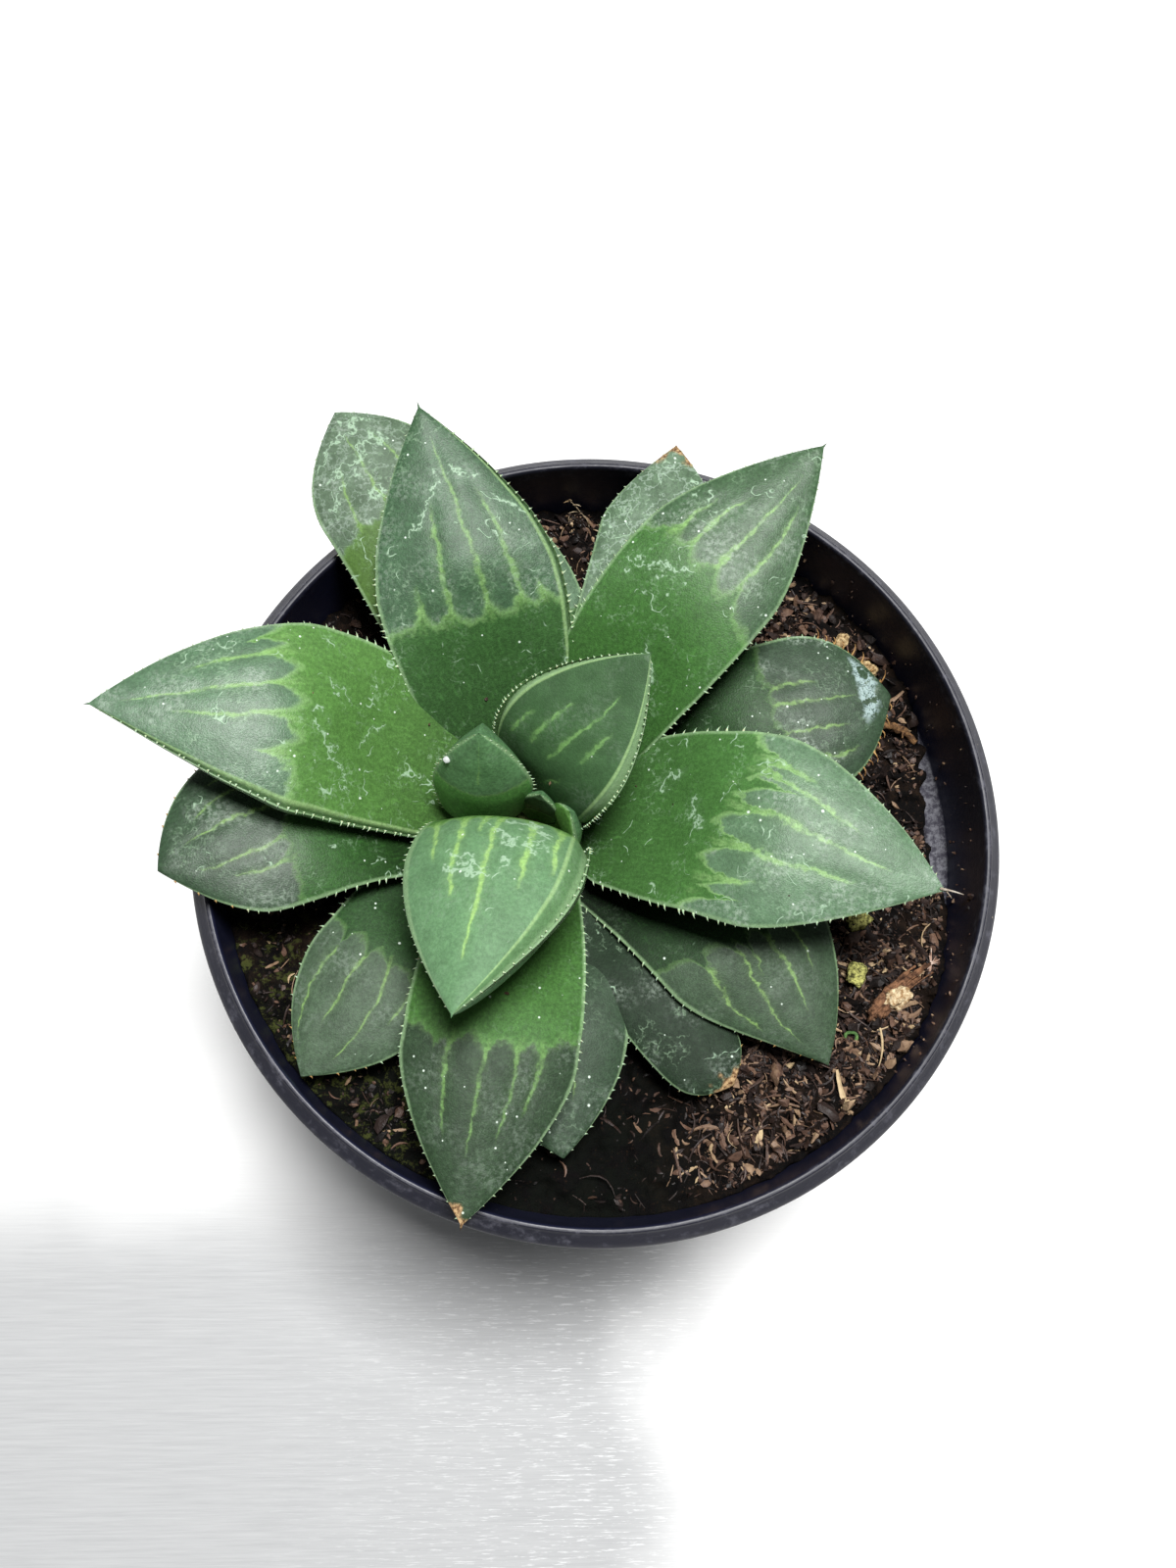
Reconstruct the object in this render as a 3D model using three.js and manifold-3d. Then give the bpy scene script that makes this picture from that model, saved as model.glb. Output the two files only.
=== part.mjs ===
// A haworthia in a round black nursery pot: a rosette of thick, toothed leaves on a
// short leaning stem, standing in potting mix with a few loose chips on top.
//
// Millimetres, +Z up. The origin is the middle of the pot's foot, on the table.
// +X is the rosette's right and -Y its front, the side that it is looked at from.

import * as THREE from 'three';
import { mergeVertices } from 'three/addons/utils/BufferGeometryUtils.js';
import Module from 'manifold-3d';

const wasm = await Module();
wasm.setup();

// ---------------------------------------------------------------- driving dimensions

const GAP = 0.3; // clearance left between pieces that touch
const DEG = Math.PI / 180;

const POT = {
  height: 75, // table to the top of the rim
  rimRadius: 45, // outermost edge of the rim
  rimWidth: 2.2, // sloping top band of the rim
  rimSlope: 1.3, // how far that band falls outwards
  rimSkirt: 3.6, // depth of the rim's outer edge
  wall: 1.2,
  shoulderDepth: 12, // the collar below the rim ends in an inward step here
  shoulderStep: 2.0,
  footRadius: 31, // outer radius of the foot
  footRing: 3, // width of the ring that the pot stands on
  padRadius: 12, // flat round pad under the middle
  channelHeight: 1.6, // underside between pad and ring is raised by this much
  floor: 1.4,
  sides: 48,
  drainHoles: 8,
  drainRadius: 3,
};

const SOIL = {
  clearanceBelow: 0.4, // above the pot's floor
  level: 62.2, // surface in the middle
  wallRise: 2.8, // how much higher it lies all along the wall
  // banks and a dip along the wall: direction and half spread in degrees, height
  banks: [[-146, 50, 3.6], [-48, 48, 3.4], [3, 32, -2.6]],
  dishDepth: 3.6, // hollow around the stem
  dishRadius: 19,
  crumb: 0.45, // height of the lumps
  cell: 3, // spacing of the surface grid
};

const STEM = {
  foot: [-7.4, 4.6, 50], // tip of the root stock, down in the mix
  neck: [-8, 3, 63],
  top: [-9, 0.8, 71],
  footRadius: 2.6,
  neckRadius: 5.2,
  topRadius: 3.0,
  sides: 14,
};

// A marginal tooth: how far it stands out, its width at the margin, how far it leans
// towards the leaf's tip, and the share of the length that the teeth start at.
const TOOTH = { length: 0.75, base: 0.75, lean: 0.35, from: 0.2 };

// Every leaf, innermost first. heading is the way it leaves the stem, in degrees from
// +X towards +Y, and sweep is how far it turns by its tip. rise and level are its slopes
// before and after the bend, which lies at the share `bend` of its length. roll turns the
// blade about its own line. width is its greatest, at the share `widest` of its length.
// blunt rounds the outline off towards the tip. foot is where its line starts.
const LEAVES = [
  { name: 'leaf_bud_inner', heading: 70, sweep: 0, length: 9, rise: 82, level: 88, bend: 0.5,
    roll: 0, width: 4.6, widest: 0.45, blunt: 1.8, foot: [-6.9, 0.6, 71] },
  { name: 'leaf_bud_outer', heading: 25, sweep: 0, length: 10, rise: 80, level: 84, bend: 0.5,
    roll: 0, width: 6.0, widest: 0.45, blunt: 1.8, foot: [-4.7, -1.1, 70] },
  { name: 'leaf_young_incurved', heading: 71, sweep: 0, length: 21, rise: 76, level: 96,
    bend: 0.6, roll: -7, width: 11.5, widest: 0.38, blunt: 1.8, foot: [-13, 0.7, 69.5] },
  { name: 'leaf_young_right', heading: 44.5, sweep: -3, length: 29, rise: 78, level: 24,
    bend: 0.48, roll: 1, width: 16, widest: 0.5, blunt: 1.6, foot: [-8, 2.5, 69] },
  { name: 'leaf_young_front', heading: -110, sweep: 9.5, length: 37, rise: 84, level: 20.5,
    bend: 0.44, roll: 14, width: 18.5, widest: 0.55, blunt: 1.6, foot: [-9.5, -2.2, 69] },
  { name: 'leaf_upper_back', heading: 107, sweep: 0, length: 45.5, rise: 40, level: 12,
    bend: 0.46, roll: -3, width: 21, widest: 0.54, blunt: 1.6, foot: [-8.9, 5.9, 67] },
  { name: 'leaf_upper_right', heading: -9.5, sweep: -14.5, length: 47, rise: 38.5, level: 8,
    bend: 0.52, roll: 5, width: 21, widest: 0.58, blunt: 1.6, foot: [-5, 2.5, 67] },
  { name: 'leaf_upper_front', heading: -96.5, sweep: -2, length: 46, rise: 34, level: 2,
    bend: 0.44, roll: -2, width: 18.5, widest: 0.63, blunt: 1.6, foot: [-8.3, 0, 67] },
  { name: 'leaf_upper_left', heading: 159, sweep: 29, length: 48.5, rise: 38.5, level: 8,
    bend: 0.58, roll: 2, width: 20, widest: 0.5, blunt: 1.6, foot: [-10.8, 4.1, 67] },
  { name: 'leaf_upper_back_right', heading: 52, sweep: -6, length: 52, rise: 38, level: 8,
    bend: 0.46, roll: 1, width: 18, widest: 0.61, blunt: 1.6, foot: [-6.1, 5.4, 67] },
  { name: 'leaf_lower_back_left', heading: 110, sweep: 16, length: 49, rise: 33, level: 10,
    bend: 0.45, roll: -2, width: 17, widest: 0.75, blunt: 1.9, foot: [-9.4, 6.8, 64] },
  { name: 'leaf_lower_left', heading: 179, sweep: 34, length: 40.5, rise: 37, level: 11,
    bend: 0.46, roll: 1, width: 19, widest: 0.68, blunt: 1.7, foot: [-12, 3.1, 64] },
  { name: 'leaf_lower_right', heading: 22, sweep: -11, length: 43, rise: 24, level: 2,
    bend: 0.45, roll: 3, width: 19, widest: 0.71, blunt: 2.0, foot: [-4.3, 4.5, 64] },
  { name: 'leaf_lower_front_right', heading: -22, sweep: -42.5, length: 43, rise: 24, level: 0,
    bend: 0.45, roll: 1, width: 19.8, widest: 0.62, blunt: 1.6, foot: [-4.3, 1.5, 64] },
  { name: 'leaf_lower_back_right', heading: 54, sweep: 30, length: 45, rise: 33, level: 6,
    bend: 0.45, roll: -1, width: 14.5, widest: 0.74, blunt: 1.7, foot: [-5.2, 6.8, 63.2] },
  { name: 'leaf_lower_back', heading: 93.5, sweep: 0, length: 34.5, rise: 26, level: 8,
    bend: 0.45, roll: -1, width: 15.5, widest: 0.63, blunt: 1.6, foot: [-8.2, 7, 64] },
  { name: 'leaf_lower_front', heading: -85, sweep: 3, length: 36.5, rise: 20, level: 3,
    bend: 0.45, roll: 0, width: 18, widest: 0.58, blunt: 2.2, foot: [-7.7, -1, 64] },
  { name: 'leaf_lower_front_left', heading: -130, sweep: 6, length: 35.5, rise: 27, level: 4,
    bend: 0.45, roll: 0, width: 16.5, widest: 0.6, blunt: 1.7, foot: [-10.6, -0.1, 64] },
  { name: 'leaf_lower_stub', heading: -63, sweep: 19.5, length: 36, rise: 18, level: 3,
    bend: 0.45, roll: 0, width: 9.6, widest: 0.75, blunt: 5, foot: [-6.2, -0.6, 64.5] },
];

const LEAF = {
  footWidth: 0.6, // width near the foot as a share of the greatest
  footPinch: 0.6, // and how far the very foot is drawn in below that
  pinchLength: 0.18, // over this share of the length
  thickness: 0.29, // depth of the underside as a share of the width
  channel: 0.1, // how far the foot's face is hollow, as a share of the half width
  swell: 0.16, // and how far the window's face stands up
  bendLength: 0.4, // share of the length that the bend is spread over
  steps: 15,
  roomSteps: 0.6, // share of the steps that the room left around a leaf is cut with
  point: 0.7, // fine point beyond the blade
};

// Loose pieces on the mix: place, size across, height, turn and number of corners.
const CHIPS = [
  { name: 'chip_tan_upper', at: [30.8, 25.2], size: [2.6, 1.8], height: 1.6, turn: 60, corners: 7 },
  { name: 'chip_tan_lower', at: [33.5, 21.6], size: [3.4, 2.2], height: 1.8, turn: -30, corners: 7 },
  { name: 'chip_green_upper', at: [30.6, -9.6], size: [3.6, 2.6], height: 1.8, turn: 20, corners: 8 },
  { name: 'chip_green_lower', at: [29.8, -16.4], size: [3.2, 2.6], height: 1.7, turn: 80, corners: 7 },
  { name: 'chip_cream', at: [34, -18.6], size: [4.2, 2.8], height: 2.2, turn: 35, corners: 8 },
];
const TWIG = { from: [35.4, 14.8], to: [39.4, 12.5], radius: 0.55, bow: 0.5, sides: 6 };
const SEAT_TRIES = 12; // steps in which a loose piece is lowered onto the mix

const COLOUR = {
  pot: 0x26252d, soil: 0x33241a, stem: 0x7d8f4e, leaf: 0x4a7a3c, young: 0x5a9a4a,
  tan: 0xb89a6a, green: 0xa9a850, cream: 0xcdb78f, twig: 0x5b4230,
};

// ------------------------------------------------------------------- solids and meshes

// A closed solid from a list of points and a list of triangles.
function solidOf(points, triangles) {
  return new wasm.Manifold(new wasm.Mesh({
    numProp: 3,
    vertProperties: Float32Array.from(points.flat()),
    triVerts: Uint32Array.from(triangles.flat()),
  }));
}

// The same, from one of three.js's own geometries.
function solidFrom(geometry) {
  const bare = geometry.clone();
  bare.deleteAttribute('normal');
  bare.deleteAttribute('uv');
  const merged = mergeVertices(bare, 1e-4);
  const at = merged.attributes.position;
  const points = Array.from({ length: at.count }, (_, i) => [at.getX(i), at.getY(i), at.getZ(i)]);
  const index = Array.from(merged.index.array);
  const triangles = [];
  for (let i = 0; i < index.length; i += 3) {
    const [a, b, c] = index.slice(i, i + 3);
    if (a !== b && b !== c && a !== c) triangles.push([a, b, c]);
  }
  return solidOf(points, triangles);
}

// A ring-by-ring skin: rings of equal length, closed by a point or a fan at each end.
function loft(rings, startPoint, endPoint) {
  const n = rings[0].length;
  const points = [...rings.flat(), startPoint, endPoint];
  const start = points.length - 2;
  const end = points.length - 1;
  const triangles = [];
  for (let i = 0; i < rings.length - 1; i++) {
    for (let j = 0; j < n; j++) {
      const k = (j + 1) % n;
      const [a, b] = [i * n + j, i * n + k];
      triangles.push([a, b, b + n], [a, b + n, a + n]);
    }
  }
  const last = (rings.length - 1) * n;
  for (let j = 0; j < n; j++) {
    const k = (j + 1) % n;
    triangles.push([start, k, j], [end, last + j, last + k]);
  }
  return { points, triangles };
}

// The largest body of a solid: a cut can leave a loose scrap behind.
function largest(solid) {
  const bodies = solid.decompose();
  return bodies.reduce((a, b) => (b.volume() > a.volume() ? b : a));
}

function geometryOf(solid) {
  const mesh = solid.getMesh();
  const geometry = new THREE.BufferGeometry();
  geometry.setAttribute('position', new THREE.BufferAttribute(mesh.vertProperties, 3));
  geometry.setIndex(new THREE.BufferAttribute(mesh.triVerts, 1));
  geometry.computeVertexNormals();
  return geometry;
}

function meshOf(name, solid, colour, roughness = 0.6) {
  const material = new THREE.MeshStandardMaterial({ color: colour, roughness, metalness: 0 });
  const mesh = new THREE.Mesh(geometryOf(solid), material);
  mesh.name = name;
  return mesh;
}

// Signed volume of a triangle list, to tell which way its faces point.
function signedVolume(points, triangles) {
  let volume = 0;
  for (const [a, b, c] of triangles) {
    const [p, q, r] = [points[a], points[b], points[c]];
    volume += p[0] * (q[1] * r[2] - q[2] * r[1]) - p[1] * (q[0] * r[2] - q[2] * r[0])
      + p[2] * (q[0] * r[1] - q[1] * r[0]);
  }
  return volume / 6;
}

function facingOut(points, triangles) {
  const flip = signedVolume(points, triangles) < 0;
  return solidOf(points, flip ? triangles.map(([a, b, c]) => [a, c, b]) : triangles);
}

const clamp01 = (x) => Math.min(1, Math.max(0, x));
const smooth = (x) => clamp01(x) ** 2 * (3 - 2 * clamp01(x));
const mix = (a, b, t) => a + (b - a) * t;

// ---------------------------------------------------------------------------- the pot

// Inner radius of the pot at a height, above its floor.
function innerRadius(z) {
  const shoulder = POT.height - POT.shoulderDepth;
  const mouth = POT.rimRadius - POT.rimWidth;
  const collarFoot = mouth - 0.5;
  if (z >= shoulder) return mix(collarFoot, mouth, (z - shoulder) / POT.shoulderDepth);
  const bodyTop = collarFoot - POT.shoulderStep;
  return mix(POT.footRadius - POT.wall, bodyTop, z / (shoulder - 1));
}

function potSolid() {
  const p = POT;
  const shoulder = p.height - p.shoulderDepth;
  const mouth = p.rimRadius - p.rimWidth;
  const bodyTop = innerRadius(shoulder - 1);
  const floorTop = p.channelHeight + p.floor;
  const profile = [
    [0, 0], [p.padRadius, 0], [p.padRadius + 1, p.channelHeight],
    [p.footRadius - p.footRing - 1, p.channelHeight], [p.footRadius - p.footRing, 0],
    [p.footRadius - 0.6, 0], [p.footRadius, 0.8],
    [bodyTop + p.wall, shoulder - 1 - p.wall], [innerRadius(shoulder) + p.wall, shoulder - p.wall],
    [mouth + p.wall - 0.1, p.height - p.rimSkirt - 0.6],
    [p.rimRadius - 0.9, p.height - p.rimSkirt - 0.4], [p.rimRadius - 0.3, p.height - p.rimSkirt],
    [p.rimRadius, p.height - p.rimSlope - 0.5], [p.rimRadius - 0.4, p.height - p.rimSlope],
    [mouth + 0.7, p.height - 0.1], [mouth + 0.2, p.height], [mouth, p.height - 0.35],
    [innerRadius(shoulder), shoulder], [bodyTop, shoulder - 1],
    [innerRadius(floorTop + 1.5), floorTop + 1.5], [innerRadius(floorTop) - 1.5, floorTop],
    [0, floorTop],
  ].map(([r, z]) => new THREE.Vector2(r, z));
  const shell = new THREE.LatheGeometry(profile, p.sides);
  shell.rotateX(Math.PI / 2);
  let pot = solidFrom(shell);
  const holeRing = (p.padRadius + p.footRadius - p.footRing) / 2;
  for (let i = 0; i < p.drainHoles; i++) {
    const hole = new THREE.CylinderGeometry(p.drainRadius, p.drainRadius, 8, 12);
    hole.rotateX(Math.PI / 2);
    const angle = (i + 0.5) / p.drainHoles * 2 * Math.PI;
    hole.translate(holeRing * Math.cos(angle), holeRing * Math.sin(angle), floorTop / 2);
    pot = pot.subtract(solidFrom(hole));
  }
  return pot;
}

// --------------------------------------------------------------------------- the soil

// Height of the mix: banked up against the wall, dished at the stem, lumpy all over.
function soilHeight(x, y) {
  const reach = Math.hypot(x, y) / innerRadius(SOIL.level);
  const angle = Math.atan2(y, x);
  let atWall = SOIL.wallRise;
  for (const [direction, spread, height] of SOIL.banks) {
    const off = Math.abs(Math.atan2(Math.sin(angle - direction * DEG), Math.cos(angle - direction * DEG)));
    atWall += height * Math.cos(Math.PI / 2 * clamp01(off / (spread * DEG))) ** 2;
  }
  const away = Math.hypot(x - STEM.neck[0], y - STEM.neck[1]) / SOIL.dishRadius;
  const dish = SOIL.dishDepth * (1 - smooth(away));
  const lumps = Math.sin(x * 0.83 + 1.7 * Math.sin(y * 0.47)) * Math.sin(y * 0.71 - x * 0.29)
    + 0.6 * Math.sin(x * 1.37 - y * 0.91 + 2) * Math.cos(y * 1.13);
  return SOIL.level + atWall * smooth(reach) ** 2.5 - dish + SOIL.crumb * lumps;
}

function soilSolid(stemHole) {
  const reach = POT.rimRadius;
  const count = Math.ceil(2 * reach / SOIL.cell);
  const bottom = 1;
  const at = (i) => -reach + i * 2 * reach / count;
  const points = [];
  for (const top of [true, false]) {
    for (let j = 0; j <= count; j++) {
      for (let i = 0; i <= count; i++) {
        points.push([at(i), at(j), top ? soilHeight(at(i), at(j)) : bottom]);
      }
    }
  }
  const row = count + 1;
  const under = row * row;
  const triangles = [];
  for (let j = 0; j < count; j++) {
    for (let i = 0; i < count; i++) {
      const a = j * row + i;
      const [b, c, d] = [a + 1, a + row + 1, a + row];
      triangles.push([a, b, c], [a, c, d]);
      triangles.push([a + under, c + under, b + under], [a + under, d + under, c + under]);
    }
  }
  for (let i = 0; i < count; i++) {
    const edges = [[i, i + 1], [i * row + count, (i + 1) * row + count],
      [count * row + i + 1, count * row + i], [(i + 1) * row, i * row]];
    for (const [a, b] of edges) triangles.push([b, a, a + under], [b, a + under, b + under]);
  }
  const block = facingOut(points, triangles);

  const shoulder = POT.height - POT.shoulderDepth;
  const floorTop = POT.channelHeight + POT.floor;
  const inside = (z) => innerRadius(z) - GAP;
  const base = floorTop + SOIL.clearanceBelow;
  const cavity = new THREE.LatheGeometry([
    [0, base], [inside(floorTop) - 2, base], [inside(base + 2), base + 2],
    [inside(shoulder - 1), shoulder - 1 + GAP * 0.5], [inside(shoulder), shoulder + GAP],
    [inside(POT.height), POT.height], [0, POT.height],
  ].map(([r, z]) => new THREE.Vector2(r, z)), POT.sides);
  cavity.rotateX(Math.PI / 2);
  return largest(block.intersect(solidFrom(cavity)).subtract(stemHole));
}

// ----------------------------------------------------------------- the stem and leaves

// A leaning root stock: round sections along a line through its three named points.
function stemSolid(extra) {
  const spots = [STEM.foot, STEM.neck, STEM.top].map((p) => new THREE.Vector3(...p));
  const line = new THREE.QuadraticBezierCurve3(
    spots[0], spots[1].clone().multiplyScalar(2).sub(spots[0].clone().add(spots[2]).multiplyScalar(0.5)),
    spots[2]);
  const rings = [];
  const steps = 6;
  for (let i = 0; i <= steps; i++) {
    const t = i / steps;
    const middle = line.getPoint(t);
    const radius = extra + (t < 0.5
      ? mix(STEM.footRadius, STEM.neckRadius, smooth(t * 2))
      : mix(STEM.neckRadius, STEM.topRadius, smooth(t * 2 - 1)));
    const ring = [];
    for (let j = 0; j < STEM.sides; j++) {
      const angle = j / STEM.sides * 2 * Math.PI;
      ring.push([middle.x + radius * Math.cos(angle), middle.y + radius * Math.sin(angle), middle.z]);
    }
    rings.push(ring);
  }
  const [foot, top] = [STEM.foot, STEM.top];
  const { points, triangles } = loft(rings,
    [foot[0], foot[1], foot[2] - 2 - extra], [top[0], top[1], top[2] + 1 + extra]);
  return facingOut(points, triangles);
}

// The line of a leaf with its frame at each step: the point, the way along it, the way to
// its left margin and the way up out of its face.
function leafLine(leaf, steps) {
  const stations = [];
  const point = new THREE.Vector3(...leaf.foot);
  const fine = 4;
  for (let i = 0; i <= steps * fine; i++) {
    const t = i / (steps * fine);
    const heading = (leaf.heading + leaf.sweep * t) * DEG;
    const turn = smooth((t - leaf.bend) / LEAF.bendLength + 0.5);
    const slope = mix(leaf.rise, leaf.level, turn) * DEG;
    const along = new THREE.Vector3(
      Math.cos(heading) * Math.cos(slope), Math.sin(heading) * Math.cos(slope), Math.sin(slope));
    const flat = new THREE.Vector3(-Math.sin(heading), Math.cos(heading), 0);
    const up = new THREE.Vector3().crossVectors(along, flat);
    const roll = leaf.roll * DEG * smooth(t / 0.6);
    const left = flat.clone().multiplyScalar(Math.cos(roll)).addScaledVector(up, Math.sin(roll));
    const out = up.clone().multiplyScalar(Math.cos(roll)).addScaledVector(flat, -Math.sin(roll));
    if (i % fine === 0) stations.push({ t, point: point.clone(), along, left, up: out });
    point.addScaledVector(along, leaf.length / (steps * fine));
  }
  return stations;
}

// Half width at the share t: a quarter sine up to the widest place, then a curve to the tip.
function halfWidth(leaf, t) {
  const growing = LEAF.footWidth + (1 - LEAF.footWidth) * Math.sin(Math.PI / 2 * clamp01(t / leaf.widest));
  const closing = 1 - clamp01((t - leaf.widest) / (1 - leaf.widest)) ** leaf.blunt;
  const pinch = mix(LEAF.footPinch, 1, smooth(t / LEAF.pinchLength));
  return leaf.width / 2 * pinch * (t < leaf.widest ? growing : closing);
}

// Depth of the underside at the share t: full up to the bend, then thinning to the tip.
function depth(leaf, t) {
  const foot = mix(0.75, 1, smooth(t / 0.3));
  const tip = 1 - clamp01((t - 0.35) / 0.65) ** 2.4;
  return leaf.width * LEAF.thickness * foot * tip;
}

// Height of the section at the share u across, from -1 at the right margin to 1 at the
// left: a shallow channel at the foot and a swollen window for the face, a keel below.
function faceHeight(leaf, t, u) {
  const crown = mix(-LEAF.channel, LEAF.swell, smooth((t - 0.3) / 0.35));
  return crown * halfWidth(leaf, t) * (1 - u * u);
}

function undersideHeight(leaf, t, u) {
  return -depth(leaf, t) * (0.7 * (1 - u * u) + 0.3 * (1 - Math.abs(u)));
}

const FACE_ACROSS = [0.55, 0, -0.55];
const UNDER_ACROSS = [-0.78, -0.4, 0, 0.4, 0.78];

// One leaf. `extra` swells it evenly, for the room that its older neighbours leave it.
function leafSolid(leaf, extra) {
  const fullSteps = Math.max(6, Math.round(LEAF.steps * Math.min(1, leaf.length / 36)));
  const steps = extra ? Math.ceil(fullSteps * LEAF.roomSteps) : fullSteps;
  const stations = leafLine(leaf, steps);
  const place = (s, sideways, upwards) => s.point.clone()
    .addScaledVector(s.left, sideways).addScaledVector(s.up, upwards);
  const marginExtra = extra ? extra + TOOTH.length : 0;
  const faceOf = (t, u) => Math.max(faceHeight(leaf, t, u), extra ? 0 : -Infinity);
  const rings = stations.slice(0, -1).map((s) => {
    const half = halfWidth(leaf, s.t) + marginExtra;
    const across = (u, height) => place(s, u * half, height);
    return [
      across(1, 0),
      ...FACE_ACROSS.map((u) => across(u, faceOf(s.t, u) + extra)),
      across(-1, 0),
      ...UNDER_ACROSS.map((u) => across(u, undersideHeight(leaf, s.t, u) - extra)),
    ].map((v) => v.toArray());
  });
  const first = stations[0];
  const last = stations[steps];
  const startPoint = place(first, 0, -depth(leaf, 0) * 0.4)
    .addScaledVector(first.along, -extra).toArray();
  const endPoint = last.point.clone().addScaledVector(last.along, LEAF.point + extra).toArray();
  const { points, triangles } = loft(rings, startPoint, endPoint);
  if (extra) return facingOut(points, triangles);
  return facingOut(...withTeeth(leaf, stations, rings, points, triangles));
}

// Teeth along both margins: in each cell beside a margin the two triangles on the face and
// the two on the underside give way to five that take in a tooth's foot and its tip.
function withTeeth(leaf, stations, rings, points, triangles) {
  const n = rings[0].length;
  const leftMargin = 0;
  const rightMargin = FACE_ACROSS.length + 1;
  const teeth = new Map(); // "cell:margin" -> index of the first of its three points
  for (let i = 0; i < rings.length - 1; i++) {
    const here = stations[i];
    const middle = (here.t + stations[i + 1].t) / 2;
    if (middle < TOOTH.from) continue;
    for (const [margin, side] of [[leftMargin, 1], [rightMargin, -1]]) {
      const a = new THREE.Vector3(...rings[i][margin]);
      const b = new THREE.Vector3(...rings[i + 1][margin]);
      const edge = b.clone().sub(a);
      const share = TOOTH.base / 2 / edge.length();
      const tip = a.clone().lerp(b, 0.5).addScaledVector(here.left, side * TOOTH.length)
        .addScaledVector(here.along, TOOTH.lean);
      const added = [a.clone().lerp(b, 0.5 - share), tip, a.clone().lerp(b, 0.5 + share)];
      teeth.set(`${i}:${margin}`, points.length);
      points.push(...added.map((v) => v.toArray()));
    }
  }
  const kept = [];
  for (const triangle of triangles) {
    const cell = Math.min(...triangle.map((v) => Math.floor(v / n)));
    const columns = new Set(triangle.map((v) => v % n));
    const inBody = triangle.every((v) => v < rings.length * n) && cell < rings.length - 1;
    const touched = [leftMargin, rightMargin].find(
      (m) => columns.has(m) && teeth.has(`${cell}:${m}`) && columns.size === 2);
    if (!inBody || touched === undefined || !spansCell(triangle, n)) kept.push(triangle);
  }
  for (const [key, first] of teeth) {
    const [cell, margin] = key.split(':').map(Number);
    const [footA, tip, footB] = [first, first + 1, first + 2];
    const m0 = cell * n + margin;
    const m1 = m0 + n;
    const after = cell * n + (margin + 1) % n;
    const before = cell * n + (margin + n - 1) % n;
    kept.push([m0, after, footA], [footA, after, tip], [tip, after, after + n],
      [tip, after + n, footB], [footB, after + n, m1]);
    kept.push([before, m0, footA], [before, footA, tip], [before, tip, before + n],
      [before + n, tip, footB], [before + n, footB, m1]);
  }
  return [points, kept];
}

// Whether a triangle lies between two neighbouring rings, not in an end fan.
function spansCell(triangle, n) {
  const rows = new Set(triangle.map((v) => Math.floor(v / n)));
  return rows.size === 2;
}

// ------------------------------------------------------------------ the loose pieces

// Lowers a loose piece from above the rim onto the mix, to its clearance. Going down by
// the room that is left can't overshoot, so a few goes settle it.
function seatOn(soil, solid) {
  let seated = solid.translate(0, 0, POT.height - solid.boundingBox().min[2]);
  for (let i = 0; i < SEAT_TRIES; i++) {
    seated = seated.translate(0, 0, GAP - seated.minGap(soil, POT.height));
  }
  return seated;
}

// A chip: a flattened lump with uneven corners, wider at its foot than on top.
function chipSolid(chip) {
  const [x, y] = chip.at;
  const ring = (scale, z, wobble) => Array.from({ length: chip.corners }, (_, j) => {
    const angle = j / chip.corners * 2 * Math.PI;
    const uneven = 1 + 0.16 * Math.sin(j * 2.3 + wobble);
    const along = chip.size[0] / 2 * scale * uneven * Math.cos(angle);
    const across = chip.size[1] / 2 * scale * uneven * Math.sin(angle);
    const turn = chip.turn * DEG;
    return [x + along * Math.cos(turn) - across * Math.sin(turn),
      y + along * Math.sin(turn) + across * Math.cos(turn), z];
  });
  const h = chip.height;
  const rings = [ring(0.8, 0, 1), ring(1, h * 0.4, 2), ring(0.7, h * 0.85, 3)];
  const { points, triangles } = loft(rings, [x, y, 0], [x + 0.2, y, h]);
  return facingOut(points, triangles);
}

// A bit of twig lying on the mix.
function twigSolid() {
  const [a, b] = [TWIG.from, TWIG.to];
  const middle = [(a[0] + b[0]) / 2, (a[1] + b[1]) / 2];
  const line = new THREE.CatmullRomCurve3([
    new THREE.Vector3(...a, 0), new THREE.Vector3(middle[0], middle[1] + TWIG.bow, TWIG.bow / 2),
    new THREE.Vector3(...b, TWIG.bow / 4)]);
  const outline = new THREE.Shape(Array.from({ length: TWIG.sides }, (_, j) => {
    const angle = j / TWIG.sides * 2 * Math.PI;
    return new THREE.Vector2(TWIG.radius * Math.cos(angle), TWIG.radius * Math.sin(angle));
  }));
  return solidFrom(new THREE.ExtrudeGeometry(outline, { steps: 5, extrudePath: line }));
}

// ------------------------------------------------------------------------- the object

function leafMeshes() {
  const taken = [stemSolid(GAP)];
  const meshes = [];
  for (const leaf of LEAVES) {
    let solid = leafSolid(leaf, 0);
    for (const room of taken) solid = solid.subtract(room);
    const colour = leaf.rise > 60 ? COLOUR.young : COLOUR.leaf;
    meshes.push(meshOf(leaf.name, largest(solid), colour, 0.45));
    taken.push(leafSolid(leaf, GAP));
  }
  return meshes;
}

function chipColour(name) {
  if (name.includes('tan')) return COLOUR.tan;
  return name.includes('green') ? COLOUR.green : COLOUR.cream;
}

const group = new THREE.Group();
group.add(meshOf('pot', potSolid(), COLOUR.pot, 0.4));
const soil = soilSolid(stemSolid(GAP));
group.add(meshOf('soil', soil, COLOUR.soil, 0.95));
group.add(meshOf('stem', stemSolid(0), COLOUR.stem, 0.7));
group.add(...leafMeshes());
for (const chip of CHIPS) {
  group.add(meshOf(chip.name, seatOn(soil, chipSolid(chip)), chipColour(chip.name), 0.9));
}
group.add(meshOf('twig', seatOn(soil, twigSolid()), COLOUR.twig, 0.9));

export default group;
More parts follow.
